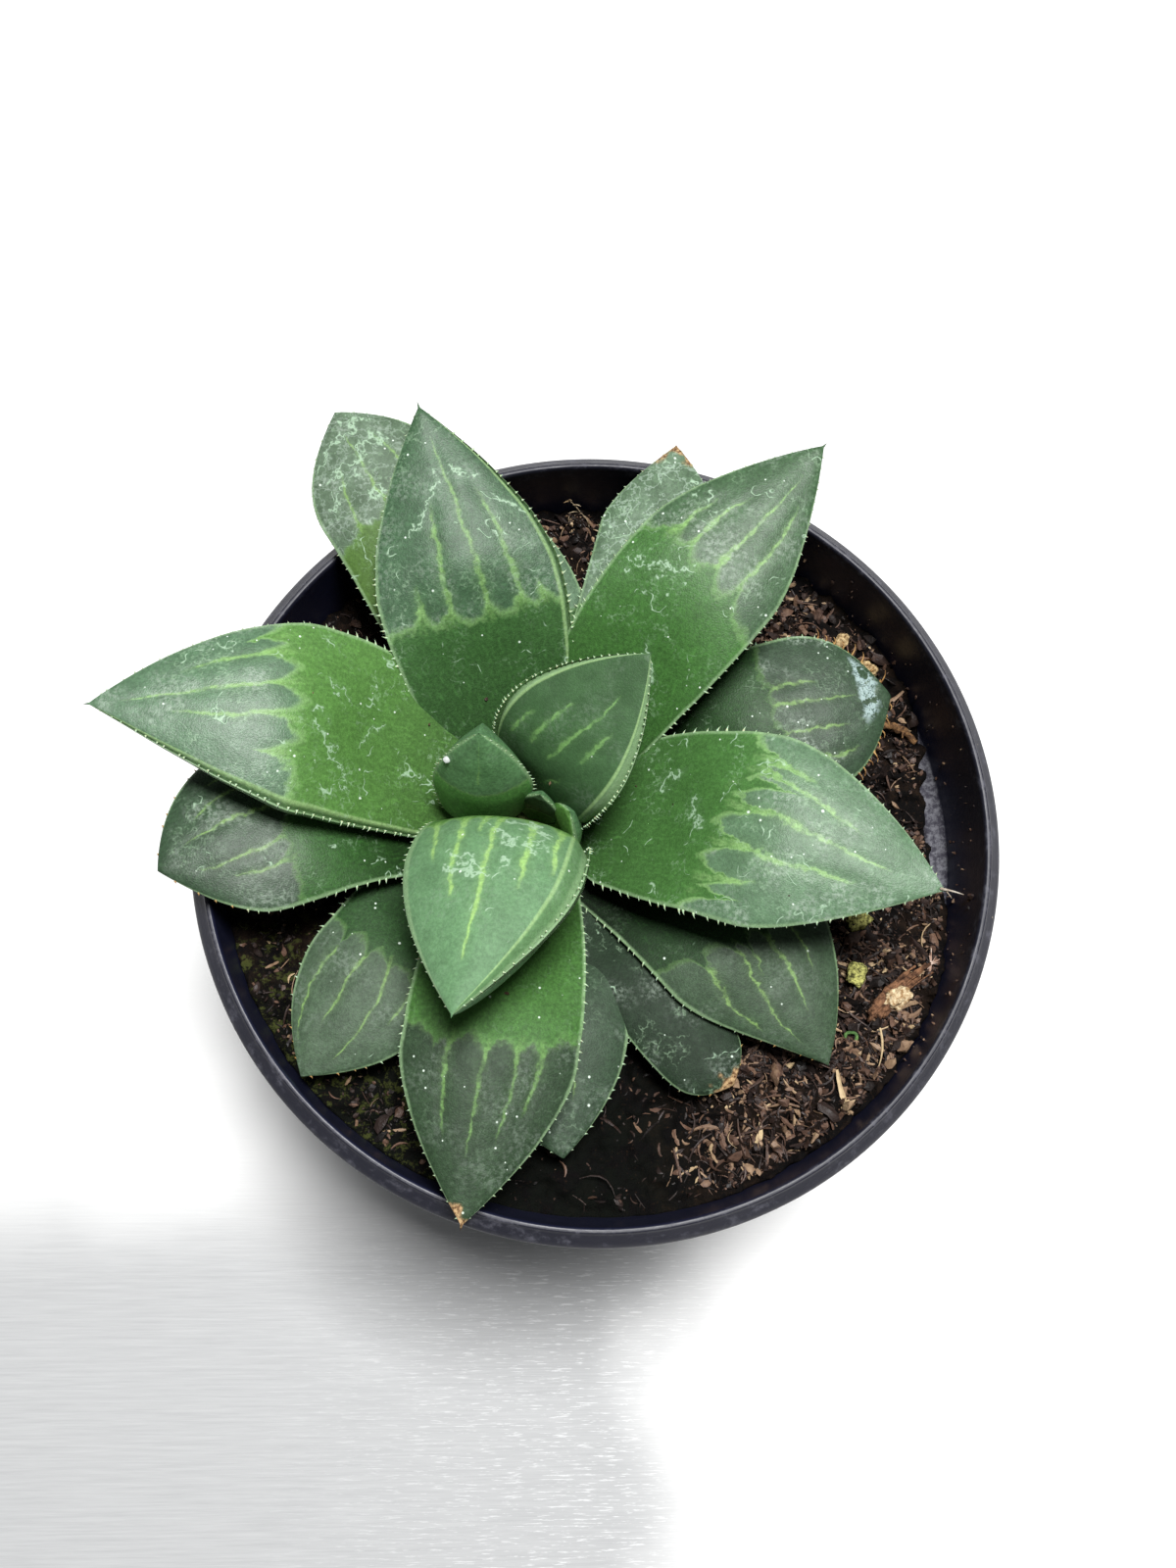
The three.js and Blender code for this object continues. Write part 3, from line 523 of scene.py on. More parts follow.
# What is drawn on each leaf. edge is where the window starts along it: in the middle, how
# much later at the left margin, and how much later at both. veins run along the leaf and
# scratches across it, each from (across, along) to (across, along). teeth gives their
# spacing and length, and band is where a pale margin starts.
LEAF_LOOKS = {
    "leaf_bud_inner": dict(
        window=(72, 98, 66), green=(74, 120, 52), edge=(0.3, 0, 0), teeth=(0.8, 0.25)),
    "leaf_bud_outer": dict(
        window=(92, 140, 66), green=(92, 142, 66), edge=(0.95, 0, 0), teeth=(0.8, 0.2)),
    "leaf_young_incurved": dict(
        window=(98, 140, 94), green=(92, 146, 74), edge=(0.55, 0, 0), scars=0.1,
        teeth=(0.75, 0.4), lobe=0.0, vein_strength=0.5,
        veins=[
            (0.02, 0.66, 0.0, 0.98)]),
    "leaf_young_right": dict(
        window=(61, 92, 57), green=(58, 92, 50), edge=(0.2, 0, 0), dots=0.1, teeth=(0.62, 0.28),
        band=0.86, bevel=(122, 156, 110), vein=(116, 160, 92), grain=(0.88, 1.14),
        gloss=(0.24, 0.54),
        veins=[
            (0.68, 0.44, 0.55, 0.57), (0.36, 0.47, 0.28, 0.69), (0.02, 0.47, -0.25, 0.83),
            (-0.4, 0.56, -0.47, 0.72), (-0.1, 0.34, -0.3, 0.44)]),
    "leaf_young_front": dict(
        window=(98, 136, 96), green=(80, 124, 58), edge=(0.41, 0, 0), scars=0.3, dots=0.25,
        teeth=(1.0, 0.32), band=0.9, lobe=0.06, vein_strength=1.0, vein_width=0.05,
        gloss=(0.2, 0.56), scratch_width=0.01, vein=(150, 190, 112), grain=(0.84, 1.16),
        veins=[
            (-0.8, 0.4, -0.62, 0.6), (-0.42, 0.4, -0.3, 0.72), (-0.02, 0.4, 0.03, 0.88),
            (0.34, 0.4, 0.43, 0.66), (0.68, 0.4, 0.68, 0.6), (-0.2, 0.4, -0.17, 0.52)],
        scratches=[
            (-0.45, 0.62, 0.12, 0.61), (0.05, 0.45, 0.6, 0.47), (0.1, 0.53, 0.55, 0.5),
            (0.2, 0.58, 0.3, 0.575), (-0.4, 0.57, -0.1, 0.6), (0.0, 0.49, 0.5, 0.54),
            (0.3, 0.43, 0.62, 0.52)]),
    "leaf_upper_back": dict(
        window=(64, 94, 66), green=(55, 92, 46), edge=(0.45, 0.01, 0.01), scars=0.6, dots=0.6,
        teeth=(1.0, 0.45), lobe=0.05, scratch_width=0.01, haze=0.22, bevel=(98, 132, 98),
        vein_width=0.05, vein=(118, 158, 90),
        veins=[
            (0.58, 0.46, 0.55, 0.58), (0.28, 0.46, 0.23, 0.76), (-0.13, 0.46, -0.12, 0.92),
            (-0.52, 0.46, -0.49, 0.77), (-0.76, 0.46, -0.72, 0.53)],
        scratches=[
            (-0.66, 0.79, -0.25, 0.83), (0.02, 0.81, 0.58, 0.68), (-0.9, 0.68, -0.64, 0.74)]),
    "leaf_upper_right": dict(
        window=(90, 120, 90), green=(68, 110, 54), edge=(0.47, 0.05, 0.0), scars=0.7, dots=0.8,
        teeth=(1.25, 0.5), lobe=0.14, scratch_width=0.009, haze=0.42, vein_width=0.05,
        vein=(144, 184, 116), grain=(0.8, 1.22), vein_strength=0.85, rim=0.65,
        veins=[
            (0.72, 0.54, 0.65, 0.68), (0.6, 0.54, 0.33, 0.8), (0.2, 0.5, -0.08, 0.89),
            (-0.2, 0.48, -0.42, 0.83), (-0.6, 0.46, -0.55, 0.61), (0.45, 0.5, 0.42, 0.53),
            (-0.8, 0.45, -0.77, 0.49)],
        scratches=[
            (-0.1, 0.42, 0.3, 0.4), (0.3, 0.3, 0.62, 0.34)]),
    "leaf_upper_front": dict(
        window=(46, 66, 44), green=(62, 102, 46), edge=(0.6, 0.0, -0.02), scars=0.2, dots=0.7,
        dry_tip=0.968, teeth=(1.0, 0.4), lobe=0.04, gloss=(0.2, 0.56), haze=0.14, rim=0.15,
        vein=(112, 152, 84), vein_strength=0.7,
        veins=[
            (-0.7, 0.57, -0.6, 0.62), (-0.42, 0.6, -0.57, 0.83), (-0.02, 0.6, -0.15, 0.87),
            (0.35, 0.6, 0.32, 0.83), (0.58, 0.6, 0.58, 0.77)]),
    "leaf_upper_left": dict(
        window=(84, 114, 86), green=(82, 124, 60), edge=(0.56, -0.02, 0.03), scars=0.75,
        dots=0.85, lobe=0.085, teeth=(1.1, 0.42), gloss=(0.42, 0.44), haze=0.32,
        vein_width=0.046, grain=(0.78, 1.24), rim=0.55,
        veins=[
            (-0.66, 0.57, -0.5, 0.82), (-0.3, 0.56, 0.0, 0.94), (0.12, 0.56, 0.23, 0.84),
            (0.48, 0.57, 0.53, 0.66), (-0.85, 0.6, -0.8, 0.66)],
        scratches=[
            (-0.07, 0.54, 0.72, 0.42), (-0.42, 0.51, -0.2, 0.45), (-0.2, 0.36, 0.2, 0.42)]),
    "leaf_upper_back_right": dict(
        window=(66, 94, 64), green=(60, 102, 46), edge=(0.6, 0.03, -0.02), scars=0.7, dots=0.8,
        lobe=0.065, teeth=(1.1, 0.4), scratch_width=0.009, haze=0.32, vein_width=0.045, rim=0.3,
        veins=[
            (0.65, 0.63, 0.57, 0.76), (0.35, 0.64, 0.28, 0.81), (-0.07, 0.64, -0.28, 0.92),
            (-0.47, 0.64, -0.63, 0.86)],
        scratches=[
            (0.1, 0.59, 0.85, 0.53), (-0.4, 0.36, 0.05, 0.42)]),
    "leaf_lower_back_left": dict(
        window=(84, 104, 82), green=(74, 104, 48), edge=(0.74, -0.06, 0.0), scars=0.6, dots=0.8,
        silver=0.2, teeth=(1.2, 0.4), haze=0.45, scratch_width=0.008, vein_strength=0.9,
        vein_width=0.035, grain=(0.84, 1.2),
        veins=[
            (0.08, 0.74, 0.1, 0.95), (-0.4, 0.78, -0.38, 0.92), (0.55, 0.72, 0.45, 0.88)],
        scratches=[
            (-0.7, 0.955, 0.8, 0.93), (-0.5, 0.9, 0.75, 0.86), (0.2, 0.84, 0.85, 0.8),
            (-0.1, 0.78, 0.3, 0.76), (0.5, 0.95, 0.9, 0.88)]),
    "leaf_lower_left": dict(
        window=(52, 74, 52), green=(46, 84, 36), edge=(0.65, 0.03, 0.0), scars=0.5, dots=0.5,
        dry_teeth=0.84, lobe=0.05, teeth=(1.3, 0.5), gloss=(0.34, 0.48), haze=0.26,
        veins=[
            (-0.82, 0.66, -0.7, 0.82), (-0.52, 0.64, -0.45, 0.88), (-0.17, 0.66, -0.18, 0.92),
            (0.23, 0.68, 0.4, 0.92), (0.5, 0.66, 0.55, 0.84)]),
    "leaf_lower_right": dict(
        window=(52, 72, 52), green=(34, 66, 28), edge=(0.65, 0.0, 0.02), scars=0.5, dots=1.0,
        patch=0.9, dry_teeth=0.85, lobe=0.03, teeth=(1.2, 0.7), gloss=(0.28, 0.5), haze=0.5,
        veins=[
            (0.38, 0.68, 0.35, 0.81), (0.15, 0.67, 0.07, 0.9), (-0.2, 0.68, -0.34, 0.87),
            (-0.55, 0.72, -0.68, 0.88)]),
    "leaf_lower_front_right": dict(
        window=(58, 78, 56), green=(30, 58, 26), edge=(0.6, 0.06, -0.02), scars=0.15, dots=0.4,
        dry_teeth=0.85, lobe=0.07, teeth=(1.5, 0.4),
        veins=[
            (-0.52, 0.63, -0.8, 0.85), (-0.15, 0.65, -0.52, 0.93), (0.25, 0.66, 0.12, 0.87),
            (0.56, 0.67, 0.5, 0.79), (-0.02, 0.68, -0.17, 0.73)]),
    "leaf_lower_back_right": dict(
        window=(84, 108, 82), green=(60, 102, 46), edge=(0.5, 0, 0), scars=0.9, dots=0.9,
        silver=0.3, dry_tip=0.955, teeth=(1.2, 0.4),
        veins=[
            (0.1, 0.55, 0.1, 0.8), (0.5, 0.55, 0.45, 0.75)]),
    "leaf_lower_back": dict(
        window=(86, 112, 86), green=(58, 98, 48), edge=(0.6, 0, 0), scars=0.4, dots=0.4,
        teeth=(1.2, 0.5),
        veins=[
            (0.1, 0.6, 0.1, 0.85), (-0.4, 0.6, -0.4, 0.8)]),
    "leaf_lower_front": dict(
        window=(50, 70, 50), green=(40, 66, 34), edge=(0.42, 0, 0), scars=0.5, dots=0.7,
        teeth=(1.1, 0.55), haze=0.2,
        veins=[
            (0.3, 0.6, 0.3, 0.85)]),
    "leaf_lower_front_left": dict(
        window=(66, 86, 64), green=(40, 72, 34), edge=(0.58, 0, 0), scars=0.1, dots=1.0,
        dry_teeth=0.86, lobe=0.05, teeth=(1.3, 0.6), haze=0.16,
        veins=[
            (-0.65, 0.66, -0.8, 0.93), (-0.28, 0.62, -0.23, 0.86), (0.03, 0.58, 0.5, 0.93),
            (0.45, 0.6, 0.6, 0.75)]),
    "leaf_lower_stub": dict(
        window=(34, 50, 34), green=(38, 62, 34), edge=(0.25, 0, 0), scars=0.7, dots=0.8,
        dry_tip=0.965, dry_teeth=0.9, teeth=(1.2, 0.5), gloss=(0.16, 0.62), haze=0.26),
}

# What holds for a leaf whose own entry doesn't say. dry_tip and dry_teeth are the share of
# its length from which it is dead or browned, so they start beyond its tip. The lower
# leaves have thinner veins, closer lobes, a narrower rim and a foot darkened with deeper
# painted shade.
COMMON_SHAPE = dict(sweep=0, bend=0.45, roll=0, side=0.15, keel=0.3, full=2.4, point=0.5,
                    swell=0.16, swell_from=0.3, bevels=())
# The haze of a look is the strength of the whitish painted sheen on the window.
COMMON_LOOK = dict(scars=0, dots=0, veins=(), scratches=(), gloss=(0.34, 0.47), lobe=0.035,
                   vein_strength=0.8, bevel=(96, 134, 84), band=0.945, grain=(0.74, 1.28),
                   haze=0.1, silver=0, scratch_width=0.007, dry_tip=1.2, dry_teeth=1.2)
UPPER_LOOK = dict(vein_width=0.04, vein_reach=13.0, rim_width=0.02, shaded=(0.5, 0.1),
                  shade=0.6, vein=(132, 174, 100), rim=0.45, rim_colour=(132, 172, 108))
LOWER_LOOK = dict(vein_width=0.03, vein_reach=22.0, rim_width=0.014, shaded=(0.6, 0.25),
                  shade=0.25, vein=(122, 158, 88), rim=0.25, rim_colour=(112, 150, 88),
                  gloss=(0.24, 0.56))
for leaf_name, shape in LEAF_SHAPES.items():
    level = LOWER_LOOK if leaf_name.startswith("leaf_lower") else UPPER_LOOK
    LEAF_SHAPES[leaf_name] = COMMON_SHAPE | shape
    LEAF_LOOKS[leaf_name] = COMMON_LOOK | level | LEAF_LOOKS[leaf_name]

YOUNG_LEAVES = ("leaf_bud_inner", "leaf_bud_outer", "leaf_young_incurved",
                "leaf_young_right", "leaf_young_front")

FOOT_WIDTH = 0.6  # width near the foot as a share of the greatest
FOOT_PINCH = 0.6  # how far the very foot is drawn in below that
PINCH_LENGTH = 0.18
THICKNESS = 0.29  # depth of the underside as a share of the width
CHANNEL = 0.1  # hollow of the foot's face as a share of the half width
BEND_LENGTH = 0.4
BEVEL_DROP = 0.16  # how far a bevelled margin falls away, as a share of the half width
MARGIN_ROUND = 0.22  # radius that the margin is rounded with
VEIN_FURROW = 0.09  # depth of the furrow along a vein
TEETH_START = 0.16  # share of the leaf's length at which its teeth start
TEETH_SPAN = 0.83
TOOTH_ROOT = 0.15  # how deep a tooth is set in the margin
LEAF_ROWS = 120
FACE_COLUMNS = 56
BACK_COLUMNS = 36


def leaf_frames(leaf, t):
    """The leaf's line at each share t, with the ways along it, to its left and up out of
    its face. The line is the sum of short steps whose heading turns evenly and whose
    slope changes over from rise to level around the bend."""
    fine = np.linspace(0, 1, 481)

    def ways(at):
        heading = np.radians(leaf["heading"] + leaf["sweep"] * at)
        turn = smooth((at - leaf["bend"]) / BEND_LENGTH + 0.5)
        slope = np.radians(mix(leaf["rise"], leaf["level"], turn))
        reach = np.cos(slope)
        along = stacked(np.cos(heading) * reach, np.sin(heading) * reach, np.sin(slope))
        flat = stacked(-np.sin(heading), np.cos(heading), 0)
        up = np.cross(along, flat)
        roll = np.radians(leaf["roll"] * smooth(at / 0.6))[:, None]
        left = flat * np.cos(roll) + up * np.sin(roll)
        return along, left, up * np.cos(roll) - flat * np.sin(roll)

    steps = ways((fine[1:] + fine[:-1]) / 2)[0] * leaf["length"] / (len(fine) - 1)
    line = np.vstack([np.zeros(3), np.cumsum(steps, axis=0)]) + leaf["foot"]
    point = np.stack([np.interp(t, fine, line[:, k]) for k in range(3)], axis=-1)
    return (point, *ways(t))


def leaf_half_width(leaf, t):
    """A quarter sine up to the widest place, and then a power curve to the tip."""
    rising = np.sin(np.pi / 2 * np.clip(t / leaf["widest"], 0, 1))
    growing = mix(FOOT_WIDTH, 1, rising)
    past = np.clip((t - leaf["widest"]) / (1 - leaf["widest"]), 0, 1)
    closing = 1 - past ** leaf["blunt"]
    pinch = mix(FOOT_PINCH, 1, smooth(t / PINCH_LENGTH))
    return leaf["width"] / 2 * pinch * np.where(t < leaf["widest"], growing, closing)


def leaf_depth(leaf, t):
    """Deep up to the bend, and then thinning to the tip: the later, the greater full is."""
    foot = mix(0.75, 1, smooth(t / 0.3))
    tip = 1 - np.clip((t - 0.35) / 0.65, 0, 1) ** leaf["full"]
    return leaf["width"] * THICKNESS * foot * tip


def leaf_skin(name, seed):
    """A leaf as rings round its line. A ring runs over the face from the left margin to
    the right one and back along the underside. The face is a parabola across, hollow at
    the foot and swollen in the window, the underside a keel between steep sides, and both
    end in a rounded margin. Low waves and a furrow along each vein are added to the face."""
    leaf, look = LEAF_SHAPES[name], LEAF_LOOKS[name]
    even = np.linspace(0, 1, LEAF_ROWS + 1)[:-1]
    t = mix(even, np.sin(even * np.pi / 2), 0.5)
    over = np.sin(np.linspace(np.pi / 2, -np.pi / 2, FACE_COLUMNS + 1))
    under = np.sin(np.linspace(-np.pi / 2, np.pi / 2, BACK_COLUMNS + 1))[1:-1]
    u = np.concatenate([over, under])
    on_face = np.arange(len(u)) <= FACE_COLUMNS
    point, _, left, up = leaf_frames(leaf, t)
    half = leaf_half_width(leaf, t)
    wave = noise(stacked(t * leaf["length"], 0, seed), 3.5, seed)
    half = (half * (1 + 0.012 * wave))[:, None]
    swollen = smooth((t - leaf["swell_from"]) / 0.35)
    crown = mix(-CHANNEL, leaf["swell"], swollen)[:, None] * half
    depth = leaf_depth(leaf, t)[:, None]
    round_off = np.minimum(MARGIN_ROUND, half * 0.3) * np.sqrt(1 - np.abs(u) ** 14)
    flat_place = stacked(t[:, None] * leaf["length"], u * half, seed)
    inside = (1 - u ** 2) ** 0.5
    face = crown * (1 - u ** 2) + round_off
    for start in leaf["bevels"]:
        beyond = (u / start - 1) / (1 / abs(start) - 1)
        face = face - BEVEL_DROP * half * smooth(0.9 * beyond)
    waves = 0.22 * noise(flat_place, 6.5, seed + 1) + 0.05 * noise(flat_place, 1.8, seed + 2)
    face += inside * waves
    for u_from, t_from, u_to, t_to in look["veins"]:
        share = np.clip((t - t_from) / (t_to - t_from), 0, 1)[:, None]
        off = (u - mix(u_from, u_to, share)) * half
        strength = smooth((t - t_from) / 0.05) * smooth((t_to + 0.05 - t) / 0.08)
        face -= VEIN_FURROW * np.exp(-(off / 0.6) ** 2) * strength[:, None] * inside
    side, keel = leaf["side"], leaf["keel"]
    hull = (1 - keel) * (1 - u ** 2) + keel * (1 - np.abs(u))
    back = -depth * mix(hull, 1 - np.abs(u) ** 7, side) - round_off
    back += inside * 0.25 * noise(flat_place, 5.0, seed + 3)
    height = np.where(on_face, face, back)
    height = np.where(np.abs(u) > 0.9999, 0, height)
    across = left[:, None] * (u * half)[..., None]
    rings = point[:, None] + across + up[:, None] * height[..., None]
    start = point[0] - up[0] * depth[0] * 0.4
    finish, finish_along = leaf_frames(leaf, np.array([1.0]))[:2]
    tip = finish[0] + finish_along[0] * leaf["point"]
    points = np.vstack([rings.reshape(-1, 3), start, tip])
    columns = len(u)
    faces = closed_faces(len(t), columns)
    uv = stacked((u + 1) / 2, t[:, None]).reshape(-1, 2)
    uv = np.vstack([uv, [0.5, 0], [0.5, 1]])
    column_of = np.concatenate([faces[0][:, 0] % columns, *[np.arange(columns)] * 2])
    material_of = np.where(column_of < FACE_COLUMNS, 0, 1)
    return points, faces, uv, material_of


def leaf_teeth(name, seed):
    """Teeth along both margins: slim cones of four sides in three rings, each bent
    towards the leaf's tip. Their places are even along the margin but for a small
    random shift."""
    leaf, look = LEAF_SHAPES[name], LEAF_LOOKS[name]
    rng = np.random.default_rng(seed)
    spacing, tallest = look["teeth"]
    count = int(leaf["length"] * 0.82 / spacing)
    t = np.tile(TEETH_START + TEETH_SPAN * (np.arange(count) + 0.5) / count, 2)
    side = np.repeat([1.0, -1.0], count)
    t = t + rng.uniform(-0.3, 0.3, 2 * count) * TEETH_SPAN / count
    point, along, left, up = leaf_frames(leaf, t)
    half = leaf_half_width(leaf, t)
    length = tallest * mix(1, 0.5, smooth((t - 0.45) / 0.25))
    length = length * rng.uniform(0.55, 1.25, 2 * count)
    out = left * side[:, None]
    lean = rng.uniform(0.2, 0.8, 2 * count)[:, None]
    root = point + out * (half - TOOTH_ROOT)[:, None]
    turns = around(4)
    ring = along[:, None] * np.cos(turns)[:, None] * 1.2
    ring = ring + up[:, None] * np.sin(turns)[:, None] * 0.8
    rings = []
    for share, thick in ((0.0, 1.0), (0.35, 0.55), (0.7, 0.22)):
        bent = along * (length[:, None] * lean * share ** 2)
        centre = root + out * (length * share + TOOTH_ROOT * share)[:, None] + bent
        radius = (0.13 + 0.12 * length)[:, None, None] * thick
        rings.append(centre[:, None] + radius * ring)
    tip = root + out * (length + TOOTH_ROOT)[:, None] + along * (length[:, None] * lean)
    tooth = np.concatenate([*rings, root[:, None], tip[:, None]], axis=1)
    points_each = tooth.shape[1]
    moulds = closed_faces(3, 4), closed_faces(3, 4, inside_out=True)
    faces = [np.vstack([repeated(mould[k], count, points_each) + start for mould, start in
                        zip(moulds, (0, count * points_each))]) for k in range(2)]
    uv = np.repeat(stacked(np.where(side > 0, 1.0, 0.0), t), points_each, axis=0)
    return tooth.reshape(-1, 3), faces, uv


def dryness(look, uv, points):
    """How dried up a point is: the last of a dead tip, with a ragged edge."""
    ragged = 0.035 * noise(points, 1.1, 77)
    return smooth((uv[:, 1] + ragged - look["dry_tip"]) / 0.012)


def grained(sheet, colour, grain, low, high):
    """The colour, darker or lighter with the tissue's grain."""
    shade = sheet.node("ShaderNodeCombineColor", *[grain * (high - low) + low] * 3)
    return sheet.blend(1.0, colour, sheet.terms(shade)["Color"], "MULTIPLY")


def flesh(name, mirror, depth):
    """A material for living tissue, which lets some light through."""
    return new_material(name, Specular_IOR_Level=mirror, Subsurface_Weight=depth,
                        Subsurface_Scale=0.0012, Subsurface_Radius=(0.6, 1.0, 0.4))


def surface_patterns(sheet, place, scars, dots):
    """The groups that every leaf uses, placed: the ways over it, its tissue and marks."""
    surface = sheet.terms(sheet.node("ShaderNodeUVMap", uv_map="surface"))["UV"]
    return (place_group(sheet, "wander", Surface=surface, Place=place),
            place_group(sheet, "tissue", Place=place),
            place_group(sheet, "marks", Place=place, Scars=scars, Dots=dots))


def leaf_face_material(name, seed):
    """The upper face: a green foot zone darkened towards the stem with painted shade, and a
    grey-green window that starts in lobes between the veins and carries a whitish painted
    sheen, with pale margins, flecks, scars and, on some, a dead tip."""
    look = LEAF_LOOKS[name]
    mirror, dullness = look["gloss"]
    sheet, finish = flesh(f"{name}_face", mirror, 0.05)
    place = sheet.millimetres(tuple(np.random.default_rng(seed).uniform(-200, 200, 3).tolist()))
    way, tissue, marks = surface_patterns(sheet, place, look["scars"], look["dots"] * 0.5)
    across, along = way["Steady"], way["Along"]
    mottle = tissue["Mottle"]

    lines, rise, cuts = 0.0, 0.0, 0.0
    for u_from, t_from, u_to, t_to in look["veins"]:
        vein = place_group(sheet, "vein", Across=way["Across"], Along=along, At=u_from,
                           From=t_from, End=u_to, Until=t_to, Width=look["vein_width"],
                           Sharp=look["vein_reach"])
        lines = sheet.most(lines, vein["Line"])
        rise = sheet.most(rise, vein["Rise"])
    swing = sheet.noise(place, 0.45, 3.0, 0.65) - 0.5
    swung = swing * 0.1 + along
    for u_from, t_from, u_to, t_to in look["scratches"]:
        cut = place_group(sheet, "vein", Across=swung, Along=way["Across"], At=t_from,
                          From=u_from, End=t_to, Until=u_to, Width=look["scratch_width"])
        cuts = sheet.most(cuts, cut["Line"])
    cuts = sheet.step(sheet.noise(place, 1.3), 0.3, 0.5) * cuts
    middle, left_later, sides_later = look["edge"]
    edge = across * left_later + middle + across * across * sides_later
    past = along - (edge + look["lobe"] * rise)
    window = sheet.step(past, -0.004, 0.008)
    rim = 1.0 - sheet.step(abs(past), 0.003, look["rim_width"])

    green = rgb(*look["green"])
    body = sheet.blend(sheet.step(mottle, 0.4, 0.7), green, times(green, 1.14))
    # Painted shade: the foot is darkened towards the stem, where the leaves above shade it.
    body = sheet.blend(sheet.step(along, *look["shaded"]), body, times(green, look["shade"]))
    stripes = sheet.noise(sheet.compose(way["Across"] * 26.0, along * 22.0), 1.0, 2.0, 0.7)
    body = sheet.blend(sheet.step(stripes, 0.5, 0.72) * 0.35, body, times(green, 1.7))
    pane = rgb(*look["window"])
    pane = sheet.blend(sheet.step(mottle, 0.35, 0.7), times(pane, 0.9), times(pane, 1.12))
    colour = sheet.blend(window, body, pane)

    def paint(share, shade):
        return sheet.blend(share, colour, shade)

    broken = sheet.step(sheet.noise(place, 0.95, 2.0, 0.6), 0.34, 0.56)
    reach = sheet.step(past, -0.02 - look["lobe"], 0.004)
    colour = paint((broken * 0.6 + 0.4) * lines * reach * look["vein_strength"], look["vein"])
    colour = paint(rim * look["rim"], look["rim_colour"])
    for start in LEAF_SHAPES[name]["bevels"]:
        beyond = across / start
        colour = paint(sheet.step(beyond, 0.97, 1.03) * 0.6, look["bevel"])
        line = 1.0 - sheet.step(abs(beyond - 1.0), 0.01, 0.04)
        colour = paint(line * 0.5, (166, 200, 136))
    margin = sheet.step(abs(swing * 0.03 + across), look["band"], look["band"] + 0.04)
    colour = paint(margin * 0.6, (146, 178, 132))
    colour = grained(sheet, colour, tissue["Grain"], *look["grain"])
    # Painted sheen: soft, granular whitish patches on the window where the lamp would glint.
    painted_sheen = sheet.step(sheet.noise(place, 0.24), 0.46, 0.7)
    painted_sheen = painted_sheen * sheet.step(sheet.noise(place, 2.0, 3.0, 0.7), 0.42, 0.66)
    colour = paint(painted_sheen * window * look["haze"], (186, 202, 186))
    silver = look["silver"]
    if silver:
        crackle = sheet.ridge(place, 0.45, 0.65, 0.5, 0.004, 0.03)
        # A grey-green haze of the silvered skin, which is the leaf's own colour.
        haze = sheet.step(sheet.noise(place, 0.25), 0.42, 0.65) * (silver * 0.7)
        colour = paint(haze * window, (140, 162, 140))
        colour = paint(crackle * window * silver, (196, 216, 200))
    if "patch" in look:
        start = look["patch"]
        patch = sheet.step(along, start, start + 0.015)
        patch = patch * sheet.step(along, start + 0.065, start + 0.045)
        patch = patch * sheet.step(sheet.noise(place, 0.6, 3.0, 0.7), 0.4, 0.47)
        patch = patch * sheet.step(abs(across - 0.2), 0.75, 0.5)
        folds = abs(sheet.noise(place, 0.8, 3.0, 0.7) - 0.5)
        folds = sheet.blend(sheet.step(folds, 0.03, 0.006), (172, 194, 192), (70, 92, 88))
        colour = sheet.blend(patch * 0.8, colour, folds)
    scars = sheet.most(marks["Scars"], cuts)
    colour = paint(scars * 0.7, (176, 206, 176))
    colour = paint(marks["Smears"] * 0.5, (164, 196, 160))
    colour = paint(marks["Dots"], (214, 228, 214))
    colour = paint(marks["Specks"] * 0.85, (46, 36, 26))
    dry = sheet.mark("dry")
    husk = sheet.step(sheet.noise(place, 2.4, 4.0, 0.7), 0.36, 0.64)
    husk = sheet.blend(husk, (84, 54, 32), (198, 166, 122))
    gloss = mottle * -0.1 + (window * -0.03 + (dullness + 0.04))
    return finish(sheet.blend(dry, colour, husk), dry * 0.35 + gloss,
                  scars * 0.6 + tissue["Height"], 0.05, 0.8)


def leaf_back_material(name, foot, top):
    """The underside: dull green with faint lengthwise streaks and a few flecks."""
    sheet, finish = flesh(name, 0.3, 0.04)
    place = sheet.millimetres()
    way, tissue, marks = surface_patterns(sheet, place, 0.2, 0.3)
    colour = sheet.blend(sheet.step(way["Along"], 0.35, 0.85), foot, top)
    streak = sheet.step(sheet.math("SINE", way["Across"] * 26.0), 0.55, 1.0)
    colour = sheet.blend(streak * 0.3, colour, times(rgb(*foot), 1.6))
    margin = sheet.step(abs(way["Steady"]), 0.93, 0.985)
    colour = sheet.blend(margin * 0.5, colour, (132, 164, 116))
    colour = grained(sheet, colour, tissue["Grain"], 0.7, 1.3)
    colour = sheet.blend(marks["Scars"] * 0.6, colour, (150, 180, 150))
    colour = sheet.blend(marks["Dots"], colour, (190, 206, 180))
    husk = sheet.blend(sheet.noise(place, 1.6, 3.0), (104, 74, 44), (190, 150, 100))
    return finish(sheet.blend(sheet.mark("dry"), colour, husk),
                  tissue["Mottle"] * -0.1 + 0.48, tissue["Height"], 0.05, 0.8)


def tooth_material():
    """Horny teeth: milky pale green, browned where the mark dry says so."""
    sheet, finish = new_material("leaf_teeth", Roughness=0.4, Specular_IOR_Level=0.5,
                                 Subsurface_Weight=0.2, Subsurface_Scale=0.0006)
    place = sheet.millimetres()
    pale = sheet.blend(sheet.noise(place, 1.5), (150, 180, 128), (214, 228, 196))
    brown = sheet.blend(sheet.noise(place, 2.5), (150, 98, 48), (222, 182, 118))
    return finish(sheet.blend(sheet.mark("dry"), pale, brown))


UNDERSIDE = leaf_back_material("leaf_underside", (54, 84, 44), (48, 66, 48))
YOUNG_UNDERSIDE = leaf_back_material("young_underside", (76, 118, 62), (84, 122, 84))
TEETH = tooth_material()


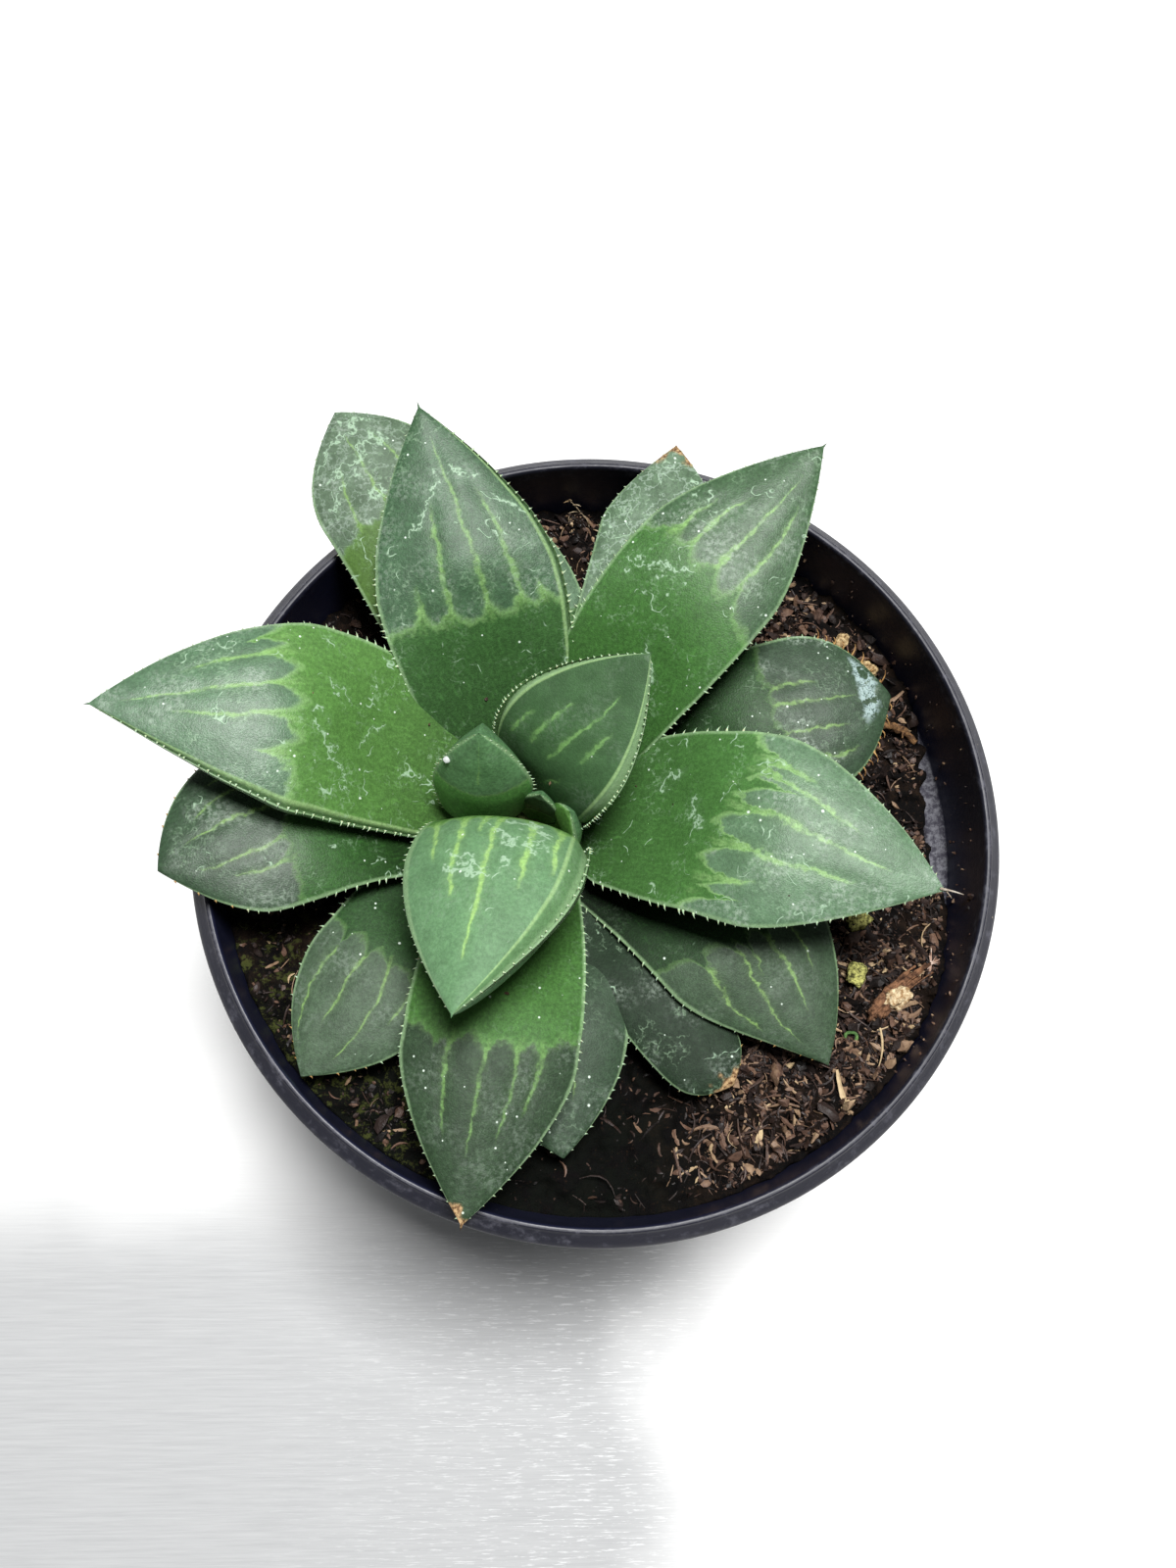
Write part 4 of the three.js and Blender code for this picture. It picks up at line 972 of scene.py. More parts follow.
def leaf_piece(name, seed):
    """Skin and teeth in one piece, which stands for the leaf's solid."""
    look = LEAF_LOOKS[name]
    points, faces, uv, material_of = leaf_skin(name, seed)
    tooth_points, tooth_faces, tooth_uv = leaf_teeth(name, seed + 50)
    skin_quads = len(faces[0])
    material_of = np.concatenate([
        material_of[:skin_quads], np.full(len(tooth_faces[0]), 2),
        material_of[skin_quads:], np.full(len(tooth_faces[1]), 2)])
    tooth_dry = smooth((tooth_uv[:, 1] - look["dry_teeth"]) / 0.05 + 0.5)
    dry = np.concatenate([dryness(look, uv, points), tooth_dry])
    face = leaf_face_material(name, seed)
    young = name in YOUNG_LEAVES
    piece = mesh_piece(f"{name}_skin", *joined([(points, faces), (tooth_points, tooth_faces)]),
                       [face, YOUNG_UNDERSIDE if young else UNDERSIDE, TEETH],
                       uv=np.vstack([uv, tooth_uv]), marks={"dry": dry},
                       material_of=material_of)
    settle(piece, "young_leaf" if young else "leaf", name)


for index, leaf_name in enumerate(LEAF_SHAPES):
    leaf_piece(leaf_name, 100 + 10 * index)


# ------------------------------------------------------------------------------ the pot

POT_HEIGHT = 75
RIM_RADIUS = 45
RIM_WIDTH = 2.2
POT_STRETCH = 1.01  # the mouth is a little wider than the solid's and off its middle
POT_SHIFT = (0.25, 0.25, 0.0)
SHOULDER = 63  # height of the inward step below the collar
MOUTH = RIM_RADIUS - RIM_WIDTH
COLLAR_FOOT = MOUTH - 0.5
BODY_TOP = COLLAR_FOOT - 2.0
FOOT_RADIUS = 31
POT_WALL = 1.2
POT_SIDES = 256
DRAIN_HOLES = 8
DRAIN_RADIUS = 3
DRAIN_CIRCLE = 20  # radius of the circle that the holes stand on
DRILL_SIDES = 32


def pot_inner_radius(z):
    """Inside of the pot's wall at a height: the collar above the shoulder, and the body
    below it."""
    collar = mix(COLLAR_FOOT, MOUTH, (z - SHOULDER) / (POT_HEIGHT - SHOULDER))
    body = mix(FOOT_RADIUS - POT_WALL, BODY_TOP, z / (SHOULDER - 1))
    return np.where(np.asarray(z) >= SHOULDER, collar, body)


# Half section of the pot from the middle of its underside, round the foot, up the outside,
# over the rim and down the inside to the middle of its floor: radius, height, and how
# round the corner there is.
POT_SECTION = [
    (0, 0, 0), (12, 0, 0.2), (13, 1.6, 0.4), (27, 1.6, 0.4), (28, 0, 0.2), (30.4, 0, 0.3),
    (31, 0.8, 0.5), (41.35, 60.8, 0.6), (43.4, 61.8, 0.5), (43.9, 70.8, 0.5),
    (44.1, 71.0, 0.15), (44.7, 71.4, 0.25), (45, 73.2, 0.3), (44.6, 73.7, 0.25),
    (43.55, 74.72, 0.15), (43.4, 75.0, 0.12), (42.95, 75.0, 0.15), (42.8, 74.6, 0.2),
    (42.3, 63, 0.35), (40.15, 62, 0.4), (30.2, 4.5, 1.2), (28.4, 3, 1.2), (0, 3, 0),
]


def on_pot(points):
    """Points of the round pot moved to where its pressed mouth stands."""
    moved = points * np.array([POT_STRETCH, POT_STRETCH, 1.0])
    return moved + np.array(POT_SHIFT)


def rounded_section(section, steps=4):
    """A polyline with each corner replaced by a short curve that starts and ends its
    rounding away from the corner."""
    line = [section[0][:2]]
    for before, corner, after in zip(section, section[1:], section[2:]):
        here = np.array(corner[:2], float)
        back, on = np.array(before[:2]) - here, np.array(after[:2]) - here
        reach = corner[2]
        start = here + back * min(0.45, reach / np.hypot(*back))
        end = here + on * min(0.45, reach / np.hypot(*on))
        line += [tuple(curve(start, here, end, s)) for s in np.linspace(0, 1, steps)]
    line.append(section[-1][:2])
    return np.array(line, float)


def pot_material():
    """Black moulded plastic: glossy dark inside with dust and a bluer tint there, a painted
    cool reflection, grey and scuffed in streaks round the rim, where hands and stacking
    have rubbed it."""
    sheet, finish = new_material("pot_plastic", Specular_IOR_Level=0.5)
    place = sheet.millimetres()
    x, y, height = sheet.parts(place)
    flat = sheet.node("ShaderNodeVectorMath", sheet.compose(x, y), operation="LENGTH")
    radius = sheet.terms(flat)["Value"]
    ring = sheet.compose(radius * 3.2, height * 3.2, sheet.noise(place, 0.05) * 14.0)
    streaks = sheet.noise(ring, 1.0, 3.0, 0.7)
    scuff = sheet.step(sheet.noise(place, 0.55, 4.0, 0.7), 0.5, 0.75)
    on_band = sheet.step(radius, 43.0, 43.4) * sheet.step(height, 73.0, 73.6)
    wear = on_band * (sheet.step(streaks, 0.35, 0.7) * 0.6 + 0.4)
    # Painted cool reflection: the inside of the collar is tinted bluer than the outside, against
    # the warm light that the mix bounces onto it.
    inside = sheet.step(radius, 43.35, 43.1) * sheet.step(height, 61.9, 62.2)
    tone = sheet.noise(place, 0.3, 3.0)
    colour = sheet.blend(tone, (23, 23, 36), (33, 33, 48))
    colour = sheet.blend(inside, colour, sheet.blend(tone, (22, 24, 45), (32, 35, 58)))
    colour = sheet.blend(wear * 0.4, colour, (38, 39, 48))
    colour = sheet.blend(scuff * on_band * 0.35, colour, (130, 130, 142))
    ledge = sheet.step(height, 61.6, 61.9) * sheet.step(height, 63.4, 63.0)
    ledge = ledge * sheet.step(radius, 43.2, 42.8)
    silt = sheet.step(sheet.noise(place, 1.4, 4.0, 0.75), 0.4, 0.62)
    silt = sheet.blend(silt, (66, 64, 72), (128, 128, 134))
    colour = sheet.blend(ledge * 0.8, colour, silt)
    dust, chance, _ = sheet.cells(place, 0.55)
    speck = (dust < sheet.noise(place, 0.4, 1.0) * 0.11) * (chance < 0.14)
    colour = sheet.blend(speck, colour, (150, 138, 122))
    rough = scuff * 0.12 + (wear * 0.16 + 0.36)
    return finish(colour, rough, streaks + sheet.noise(place, 2.2), 0.03, 0.6)


def pot_piece():
    """The section turned round the upright axis. The drainage holes are cut through its
    floor with a boolean, and its result is kept as the mesh."""
    section = rounded_section(POT_SECTION)[1:-1]
    turns = around(POT_SIDES)
    radius, height = section[:, :1], section[:, 1:]
    rings = stacked(radius * np.cos(turns), radius * np.sin(turns), height)
    middles = [[0, 0, POT_SECTION[0][1]], [0, 0, POT_SECTION[-1][1]]]
    points = np.vstack([rings.reshape(-1, 3), *middles])
    piece = mesh_piece("pot_shell", on_pot(points), closed_faces(len(section), POT_SIDES),
                       [pot_material()], crease=50)
    turns = around(DRILL_SIDES)
    drills = []
    for angle in around(DRAIN_HOLES) + TAU / DRAIN_HOLES / 2:
        middle = DRAIN_CIRCLE * np.array([np.cos(angle), np.sin(angle)])
        ring = middle + DRAIN_RADIUS * stacked(np.cos(turns), np.sin(turns))
        ends = [np.column_stack([ring, np.full(DRILL_SIDES, z)]) for z in (-1.0, 5.0)]
        drill = np.vstack([*ends, [[*middle, -1.0], [*middle, 5.0]]])
        drills.append((drill, closed_faces(2, DRILL_SIDES)))
    cutter = mesh_piece("pot_drill", *joined(drills), [])
    holes = piece.modifiers.new("drainage", "BOOLEAN")
    holes.object = cutter
    holes.operation = "DIFFERENCE"
    holes.solver = "EXACT"
    depsgraph = bpy.context.evaluated_depsgraph_get()
    shape = bpy.data.meshes.new_from_object(piece.evaluated_get(depsgraph))
    piece.modifiers.clear()
    piece.data = shape
    bpy.data.objects.remove(cutter)
    settle(piece, "pot", "pot")


pot_piece()


# ------------------------------------------------------------------------------ the mix

SOIL_LEVEL = 62.2
WALL_RISE = 2.8
# Banks and a dip along the wall: direction and half spread in degrees, and height.
SOIL_BANKS = [(-146, 50, 3.6), (-48, 48, 3.4), (3, 32, -2.6)]
DISH_DEPTH = 3.6
DISH_RADIUS = 19
STEM_NECK = (-8, 3, 63)
CRUMB = 0.45
SOIL_SPOKES = 620
SOIL_ROWS = 125
SOIL_FLOOR = 3.6
FILM_START = -18  # the film of algae lies in front of this y
LEDGE_DUST = 62.3  # height of the crumbs that lie on the pot's shoulder
STRAND_POINTS = 6
STRAND_TAPER = (0.5, 0.9, 1.0, 0.95, 0.8, 0.4)


def soil_height(x, y):
    """Height of the mix: banked up against the wall, dished at the stem, lumpy all over."""
    reach = np.hypot(x, y) / pot_inner_radius(SOIL_LEVEL)
    angle = np.arctan2(y, x)
    at_wall = np.full_like(reach, WALL_RISE)
    for direction, spread, height in SOIL_BANKS:
        off = angle - np.radians(direction)
        off = np.abs(np.arctan2(np.sin(off), np.cos(off)))
        at_wall += height * np.cos(np.pi / 2 * np.clip(off / np.radians(spread), 0, 1)) ** 2
    away = np.hypot(x - STEM_NECK[0], y - STEM_NECK[1]) / DISH_RADIUS
    dish = DISH_DEPTH * (1 - smooth(away))
    lumps = (np.sin(x * 0.83 + 1.7 * np.sin(y * 0.47)) * np.sin(y * 0.71 - x * 0.29)
             + 0.6 * np.sin(x * 1.37 - y * 0.91 + 2) * np.cos(y * 1.13))
    return SOIL_LEVEL + at_wall * smooth(reach) ** 2.5 - dish + CRUMB * lumps


def soil_surface(x, y):
    """The same with its crumbs: ridged noise of four sizes, smoother where the front is
    covered by a film of algae."""
    z = soil_height(x, y)
    place = stacked(x, y, 0)
    film = 0.5 * smooth((FILM_START - y) / 10) * within(x, -4, 22, 10)
    coarse = 1.5 * (0.4 - np.abs(noise(place, 3.6, 11)))
    coarse += 0.9 * (0.4 - np.abs(noise(place, 1.8, 12)))
    fine = 0.46 * noise(place, 0.85, 13) + 0.26 * noise(place, 0.42, 14)
    angle = np.arctan2(y, x)
    fine += 0.7 * within(angle, -0.85, 0.75, 0.4) * np.abs(noise(place, 1.3, 15))
    return z + coarse * (1 - 0.45 * film) + fine * (1 - 0.5 * film)


def soil_at(x, y):
    """The surface's height at one place."""
    return float(soil_surface(np.array([x]), np.array([y]))[0])


def soil_limit(angle):
    """How far the mix reaches: to the collar, or only to the body where it lies lower
    than the shoulder."""
    x, y = 41 * np.cos(angle), 41 * np.sin(angle)
    at_wall = soil_height(x, y)
    mouth_shift = POT_SHIFT[0] * np.cos(angle) + POT_SHIFT[1] * np.sin(angle)
    reach = mix(BODY_TOP, COLLAR_FOOT + 0.15, smooth((at_wall - 62.6) / 1.4))
    return reach * POT_STRETCH + mouth_shift


def soil_material():
    """Peat and bark mix: near-black to brown by crumb, lighter fibres, and at the front
    and left a green film with yellow-green moss."""
    sheet, finish = new_material("soil_mix", Specular_IOR_Level=0.1)
    place = sheet.millimetres()
    x, y, _ = sheet.parts(place)
    broad = sheet.noise(place, 0.35, 4.0, 0.65)
    fine = sheet.noise(place, 2.4, 4.0, 0.7)
    colour = sheet.blend(sheet.step(broad, 0.42, 0.7), (11, 9, 9), (36, 26, 19))
    colour = sheet.blend(sheet.step(fine, 0.56, 0.8) * 0.6, colour, (80, 58, 40))
    film = sheet.step(y, -14.0, -24.0) * sheet.step(x, 16.0, 2.0) * sheet.step(broad, 0.34, 0.56)
    colour = sheet.blend(film * 0.85, colour, (6, 12, 8))
    moss = sheet.step(x, -12.0, -22.0) * sheet.step(y, 0.0, -14.0)
    moss = moss * sheet.step(sheet.noise(place, 0.8, 4.0, 0.75), 0.5, 0.62)
    colour = sheet.blend(moss * 0.6, colour, (78, 84, 40))
    return finish(colour, fine * 0.4 + 0.55, sheet.noise(place, 3.5, 4.0, 0.75), 0.3, 0.9)


def soil_piece():
    """A disc of rings out to the wall, closed by a side wall and a bottom inside the pot."""
    turns = around(SOIL_SPOKES)
    limit = soil_limit(turns)
    share = np.linspace(0, 1, SOIL_ROWS + 1)[1:, None] ** 0.8
    x, y = share * limit * np.cos(turns), share * limit * np.sin(turns)
    rings = [*stacked(x, y, soil_surface(x, y))]
    for z in (61.5, 40.0, 20.0, SOIL_FLOOR):
        radius = np.minimum(pot_inner_radius(z) - 0.2, limit)
        rings.append(stacked(radius * np.cos(turns), radius * np.sin(turns), z))
    points = np.vstack([*rings, [0, 0, soil_at(0.0, 0.0)], [0, 0, SOIL_FLOOR]])
    faces = closed_faces(len(rings), SOIL_SPOKES, inside_out=True)
    piece = mesh_piece("soil_bed", points, faces, [soil_material()])
    settle(piece, "soil", "soil")


soil_piece()


def octahedron_ball():
    """A ball of 18 points and 32 triangles: an octahedron with its edges halved."""
    axes = np.array([[1, 0, 0], [0, 1, 0], [-1, 0, 0], [0, -1, 0], [0, 0, 1], [0, 0, -1]], float)
    eight = [(0, 1, 4), (1, 2, 4), (2, 3, 4), (3, 0, 4),
             (1, 0, 5), (2, 1, 5), (3, 2, 5), (0, 3, 5)]
    points = list(axes)
    middles = {}

    def middle(a, b):
        key = (min(a, b), max(a, b))
        if key not in middles:
            middles[key] = len(points)
            points.append((points[a] + points[b]) / np.linalg.norm(points[a] + points[b]))
        return middles[key]

    faces = []
    for a, b, c in eight:
        ab, bc, ca = middle(a, b), middle(b, c), middle(c, a)
        faces += [(a, ab, ca), (ab, b, bc), (ca, bc, c), (ab, bc, ca)]
    return np.array(points), np.array(faces)


def turned(rng, count):
    """Random rotations, one 3 by 3 matrix each, from unit quaternions."""
    q = rng.normal(size=(count, 4))
    w, x, y, z = (q / np.linalg.norm(q, axis=1, keepdims=True)).T
    rows = [stacked(1 - 2 * (y * y + z * z), 2 * (x * y - w * z), 2 * (x * z + w * y)),
            stacked(2 * (x * y + w * z), 1 - 2 * (x * x + z * z), 2 * (y * z - w * x)),
            stacked(2 * (x * z - w * y), 2 * (y * z + w * x), 1 - 2 * (x * x + y * y))]
    return np.stack(rows, axis=-2)


def scatter(rng, count, favour):
    """Places on the mix, drawn evenly over its disc and kept with the chance favour."""
    angle = rng.uniform(0, TAU, count * 6)
    radius = np.sqrt(rng.uniform(0.02, 1, count * 6)) * (soil_limit(angle) - 0.7)
    x, y = radius * np.cos(angle), radius * np.sin(angle)
    kept = rng.uniform(0, 1, len(x)) < favour(x, y)
    return x[kept][:count], y[kept][:count]


def rough_side(x, y):
    """More loose stuff at the right, the back and the front right than under the film, and
    in drifts."""
    angle = np.degrees(np.arctan2(y, x))
    open_side = within(angle, -5, 75, 35)
    back = 0.22 * within(angle, 75, 45, 30)
    drift = 0.55 + 0.9 * noise(stacked(x, y, 0), 5.0, 21)
    filmed = smooth((FILM_START - y) / 8) * within(x, -2, 18, 8)
    return np.clip(0.06 + np.maximum(open_side, back) * drift, 0.02, 1) * (1 - 0.9 * filmed)


def litter_material():
    """Crumbs and fibres, from black through brown to straw by the mark tint."""
    sheet, finish = new_material("soil_litter", Specular_IOR_Level=0.45)
    place = sheet.millimetres()
    tint = sheet.mark("tint") + (sheet.noise(place, 1.8, 3.0) * 0.3 - 0.15)
    ramp = sheet.node("ShaderNodeValToRGB", tint)
    stops = [(0.0, (14, 11, 10)), (0.35, (47, 33, 28)), (0.6, (104, 78, 63)),
             (0.8, (154, 127, 100)), (1.0, (206, 182, 140))]
    while len(ramp.color_ramp.elements) < len(stops):
        ramp.color_ramp.elements.new(0.5)
    for element, (at, shade) in zip(ramp.color_ramp.elements, stops):
        element.position = at
        element.color = rgb(*shade)
    return finish(sheet.terms(ramp)["Color"], sheet.noise(place, 0.9) * 0.8 + 0.2,
                  sheet.noise(place, 4.0, 3.0), 0.12, 0.8)


LITTER = litter_material()


def crumbs_at(name, rng, centre, size, tints):
    """Crumbs at given places: balls with each corner pushed in or out at random,
    flattened and turned. tints are the two powers of a beta distribution."""
    ball, faces = octahedron_ball()
    n = len(centre)
    stretch = rng.uniform([0.7, 0.5, 0.3], [1.6, 1.0, 0.8], (n, 3))
    uneven = rng.uniform(0.55, 1.35, (n, len(ball), 1))
    lumps = ball * uneven * (stretch * size[:, None] * 0.6)[:, None]
    lumps = np.einsum("nij,nkj->nki", turned(rng, n), lumps)
    points = (lumps + centre[:, None]).reshape(-1, 3)
    tint = np.clip(rng.beta(*tints, n), 0, 0.97)
    piece = mesh_piece(name, points, [repeated(faces, n, len(ball))], [LITTER],
                       marks={"tint": np.repeat(tint, len(ball))}, crease=35)
    settle(piece, "soil")


def crumbs_piece(name, count, favour, sizes, tints, seed):
    """Loose crumbs half sunk in the mix. sizes are the middle, spread and limit."""
    rng = np.random.default_rng(seed)
    x, y = scatter(rng, count, favour)
    size = np.clip(rng.lognormal(np.log(sizes[0]), sizes[1], len(x)), 0.2, sizes[2])
    centre = stacked(x, y, soil_surface(x, y) + 0.18 * size)
    crumbs_at(name, rng, centre, size, tints)


def wall_crumbs_piece(name, count, seed):
    """Crumbs that stick to the inside of the wall at the right and at the back."""
    rng = np.random.default_rng(seed)
    angle = np.radians(rng.uniform(-42, 75, count))
    z = SHOULDER + 11 * rng.beta(1.1, 1.6, count)
    radius = pot_inner_radius(z) * POT_STRETCH - 0.08
    centre = stacked(radius * np.cos(angle), radius * np.sin(angle), z) + POT_SHIFT
    on_ledge = (np.arange(count) % 3 == 0) & (np.abs(np.degrees(angle) - 8) < 26)
    ledge = rng.uniform(40.6, 42.4, count)
    lower = stacked(ledge * np.cos(angle), ledge * np.sin(angle), LEDGE_DUST)
    centre = np.where(on_ledge[:, None], lower, centre)
    size = np.clip(rng.lognormal(np.log(0.22), 0.5, count), 0.12, 0.8)
    crumbs_at(name, rng, centre, size, (2.6, 2.4))


def strands_piece(name, count, favour, lengths, thickness, flatness, tints, seed):
    """Peat, bark and straw strands: thin tubes along a quadratic curve that rests on the
    mix at both ends and arches a little. lengths are the middle, spread and limit,
    thickness the least and greatest radius, and flatness squashes a strand to a shred."""
    rng = np.random.default_rng(seed)
    x, y = scatter(rng, count, favour)
    n = len(x)
    length = np.clip(rng.lognormal(np.log(lengths[0]), lengths[1], n), 0.6, lengths[2])
    angle = rng.uniform(0, TAU, n)
    span = stacked(np.cos(angle), np.sin(angle)) * length[:, None] / 2
    away = np.maximum(np.hypot(x, y), 0.1)
    over = away + length / 2 - (soil_limit(np.arctan2(y, x)) - 0.6)
    inward = np.clip(over / away, 0, 0.4)
    middle = stacked(x, y) * (1 - inward)[:, None]
    share = np.linspace(0, 1, STRAND_POINTS)
    arch = 4 * share * (1 - share)
    bow = rng.normal(0, 0.25, (n, 1)) * stacked(-span[:, 1], span[:, 0])
    flat = middle[:, None] + (2 * share - 1)[:, None] * span[:, None]
    flat = flat + arch[:, None] * bow[:, None]
    lift = soil_surface(flat[..., 0], flat[..., 1])
    ends = mix(lift[:, :1], lift[:, -1:], share)
    height = np.maximum(ends, mix(lift, ends, 0.4)) + thickness[0]
    height += arch * rng.uniform(-0.05, 0.12, (n, 1)) * length[:, None]
    line = np.concatenate([flat, height[..., None]], axis=-1)
    thick = rng.uniform(*thickness, n)[:, None] * np.array(STRAND_TAPER)
    thick = thick * rng.uniform(0.7, 1.25, thick.shape)
    turns = around(4)
    side = stacked(-np.sin(angle), np.cos(angle), 0)
    roll = rng.uniform(-0.7, 0.7, n)[:, None]
    upright = np.array([0, 0, 1.0])
    wide = (side * np.cos(roll) + upright * np.sin(roll))[:, None, None]
    thin = (upright * np.cos(roll) - side * np.sin(roll))[:, None, None]
    ring = wide * np.cos(turns)[:, None] + thin * np.sin(turns)[:, None] * flatness
    tubes = line[:, :, None] + ring * thick[..., None, None]
    tubes = np.concatenate([tubes.reshape(n, -1, 3), line[:, :1], line[:, -1:]], axis=1)
    points_each = tubes.shape[1]
    mould = closed_faces(STRAND_POINTS, 4, inside_out=True)
    tint = np.clip(rng.beta(*tints, n), 0.05, 1)
    piece = mesh_piece(name, tubes.reshape(-1, 3),
                       [repeated(faces, n, points_each) for faces in mould], [LITTER],
                       marks={"tint": np.repeat(tint, points_each)}, crease=40)
    settle(piece, "soil")


def shredded_side(x, y):
    """Shredded bark lies thickest at the front right, and some at the back right."""
    angle = np.degrees(np.arctan2(y, x))
    front = within(angle, -50, 34, 18) * smooth((np.hypot(x, y) - 24) / 8)
    right = 0.12 * within(angle, 15, 50, 25)
    return np.clip(0.02 + front + right, 0, 1)


def film_free(x, y):
    """Everywhere, but little where the film is."""
    filmed = smooth((FILM_START - y) / 8) * within(x, -2, 16, 8)
    return everywhere(x, y) * (1 - 0.8 * filmed)


def old_roots(x, y):
    """The front left, where old roots lie bare."""
    return smooth((9 - np.hypot(x + 34, y + 24)) / 5)


def everywhere(x, y):
    """Evenly, with thin and thick places."""
    return np.clip(0.5 + 0.8 * noise(stacked(x, y, 0), 4.0, 22), 0.08, 1)


for name, *values in [
        ("soil_crumbs", 6000, rough_side, (0.44, 0.55, 1.6), (1.7, 3.1), 31),
        ("soil_tan_crumbs", 2900, rough_side, (0.34, 0.55, 1.3), (3.9, 2.3), 37),
        ("soil_bark", 70, shredded_side, (0.9, 0.4, 2.2), (2.4, 2.6), 36),
        ("soil_grit", 6000, film_free, (0.34, 0.5, 1.5), (1.0, 5.2), 32)]:
    crumbs_piece(name, *values)
wall_crumbs_piece("soil_dust", 170, 38)
for name, *values in [
        ("soil_shreds", 1500, shredded_side, (1.2, 0.5, 4.2), (0.06, 0.22), 0.6, (2.0, 3.0), 33),
        ("soil_curls", 260, shredded_side, (1.8, 0.5, 5.5), (0.1, 0.34), 0.5, (3.2, 2.0), 40),
        ("soil_fibres", 1200, rough_side, (1.3, 0.5, 3.6), (0.03, 0.10), 0.9, (2.2, 2.4), 34),
        ("soil_strings", 1700, film_free, (1.1, 0.5, 4.5), (0.04, 0.13), 0.5, (1.1, 4.0), 35),
        ("soil_old_roots", 60, old_roots, (3.2, 0.4, 6.0), (0.06, 0.13), 0.9, (6.0, 1.8), 39)]:
    strands_piece(name, *values)


# ------------------------------------------------------- stem, chips and twig on the mix

def tube(line, radius, sides, seed=0, rough=0.0):
    """Rings square to a line of points, closed by a pole at each end. rough adds noise to
    the radius."""
    line = np.asarray(line, float)
    along = np.gradient(line, axis=0)
    along /= np.linalg.norm(along, axis=1, keepdims=True)
    side = np.cross(along, [0.31, 0.12, 0.94])
    side /= np.linalg.norm(side, axis=1, keepdims=True)
    up = np.cross(side, along)
    turns = around(sides)
    ring = side[:, None] * np.cos(turns)[:, None] + up[:, None] * np.sin(turns)[:, None]
    radius = np.broadcast_to(np.asarray(radius, float), len(line))[:, None, None]
    points = line[:, None] + ring * radius
    if rough:
        points = points + ring * (rough * noise(points, 1.0, seed))[..., None]
    points = np.vstack([points.reshape(-1, 3), line[0], line[-1]])
    return points, closed_faces(len(line), sides)


def wood_material(name, dark, light, rough=0.8, scale=1.3):
    """Dry plant stuff: two tones by a stringy noise, with a fine relief."""
    sheet, finish = new_material(name, Specular_IOR_Level=0.3)
    place = sheet.millimetres()
    tone = sheet.noise(place, scale, 4.0, 0.7)
    colour = sheet.blend(sheet.step(tone, 0.35, 0.68), dark, light)
    return finish(colour, rough, sheet.noise(place, 3.0, 4.0, 0.7), 0.25, 0.9)


def dry_piece(name, parts, slot, look, *nodes):
    """Closed shapes of dry plant stuff as one piece. look is what wood_material takes."""
    settle(mesh_piece(name, *joined(parts), [wood_material(*look)]), slot, *nodes)


def straight(start, end, count):
    """Points evenly spaced on the straight line from start to end."""
    return mix(np.array(start, float), np.array(end, float), np.linspace(0, 1, count)[:, None])


def hair(start, end, bow, radius, sides=6):
    """A tapering thread: a straight line between two points with a half-sine bow."""
    s = np.linspace(0, 1, 14)[:, None]
    line = straight(start, end, 14) + np.array(bow) * np.sin(np.pi * s)
    return tube(line, mix(radius, radius * 0.25, s[:, 0]), sides)


def stem_piece():
    """The root stock: a tube along a curve through its foot, neck and top."""
    foot, neck, top = np.array([[-7.4, 4.6, 50], STEM_NECK, [-9, 0.8, 71]])
    s = np.linspace(0, 1, 25)
    line = curve(foot, neck * 2 - (foot + top) / 2, top, s[:, None])
    radius = np.where(s < 0.5, mix(2.6, 5.2, smooth(s * 2)), mix(5.2, 3.0, smooth(s * 2 - 1)))
    dry_piece("stem_stock", [tube(line, radius, 32, 41, 0.25)], "stem",
              ("stem_stock", (58, 62, 34), (128, 134, 84), 0.6), "stem")


def chip_piece(node, slot, material, turn, seed):
    """A chip in its solid's box: a ball pulled to a rounded block, turned, flattened and
    made uneven with noise of two sizes."""
    low, high = box_of(node)
    rows, columns = 23, 34
    lift = np.linspace(-np.pi / 2, np.pi / 2, rows + 2)[1:-1, None]
    turns = around(columns)
    ball = stacked(np.cos(lift) * np.cos(turns), np.cos(lift) * np.sin(turns), np.sin(lift))
    ball = np.vstack([ball.reshape(-1, 3), [0, 0, -1], [0, 0, 1]])
    ball = np.sign(ball) * np.abs(ball) ** 0.75
    cos, sin = np.cos(np.radians(turn)), np.sin(np.radians(turn))
    ball = ball * [1.25, 0.85, 1.0]
    ball = ball @ np.array([[cos, sin, 0], [-sin, cos, 0], [0, 0, 1]])
    uneven = 0.26 * noise(ball * 2, 1.1, seed) + 0.2 * noise(ball * 2, 0.5, seed + 1)
    ball = ball * (1 + uneven)[:, None]
    points = (low + high) / 2 + ball / np.abs(ball).max(axis=0) * (high - low) / 2
    settle(mesh_piece(f"{node}_bark", points, closed_faces(rows, columns), [material]), slot, node)


def twig_piece():
    """The brown twig: a tube with knots and a side shoot, tapering to its broken end."""
    ground = box_of("twig")[0][2]
    s = np.linspace(0, 1, 26)[:, None]
    line = straight([35.5, 14.7, ground + 0.6], [39.4, 12.5, ground + 0.8], 26)
    line = line + np.array([0.1, 0.5, 0.35]) * np.sin(np.pi * s)
    line = line + 0.12 * noise(np.repeat(s * 7, 3, axis=1) + [0, 5, 9], 1.0, 61)[:, None]
    knots = 1 + 0.25 * noise(np.repeat(s * 9, 3, axis=1), 1.0, 62)
    shoot = straight(line[14], line[14] + [-0.3, -1.2, 0.35], 6)
    parts = [tube(line, mix(0.56, 0.34, s[:, 0]) * knots, 10, 63, 0.1),
             tube(shoot, np.linspace(0.24, 0.08, 6), 6, 64, 0.04)]
    dry_piece("twig_stick", parts, "twig", ("twig_bark", (56, 36, 22), (150, 112, 72)), "twig")


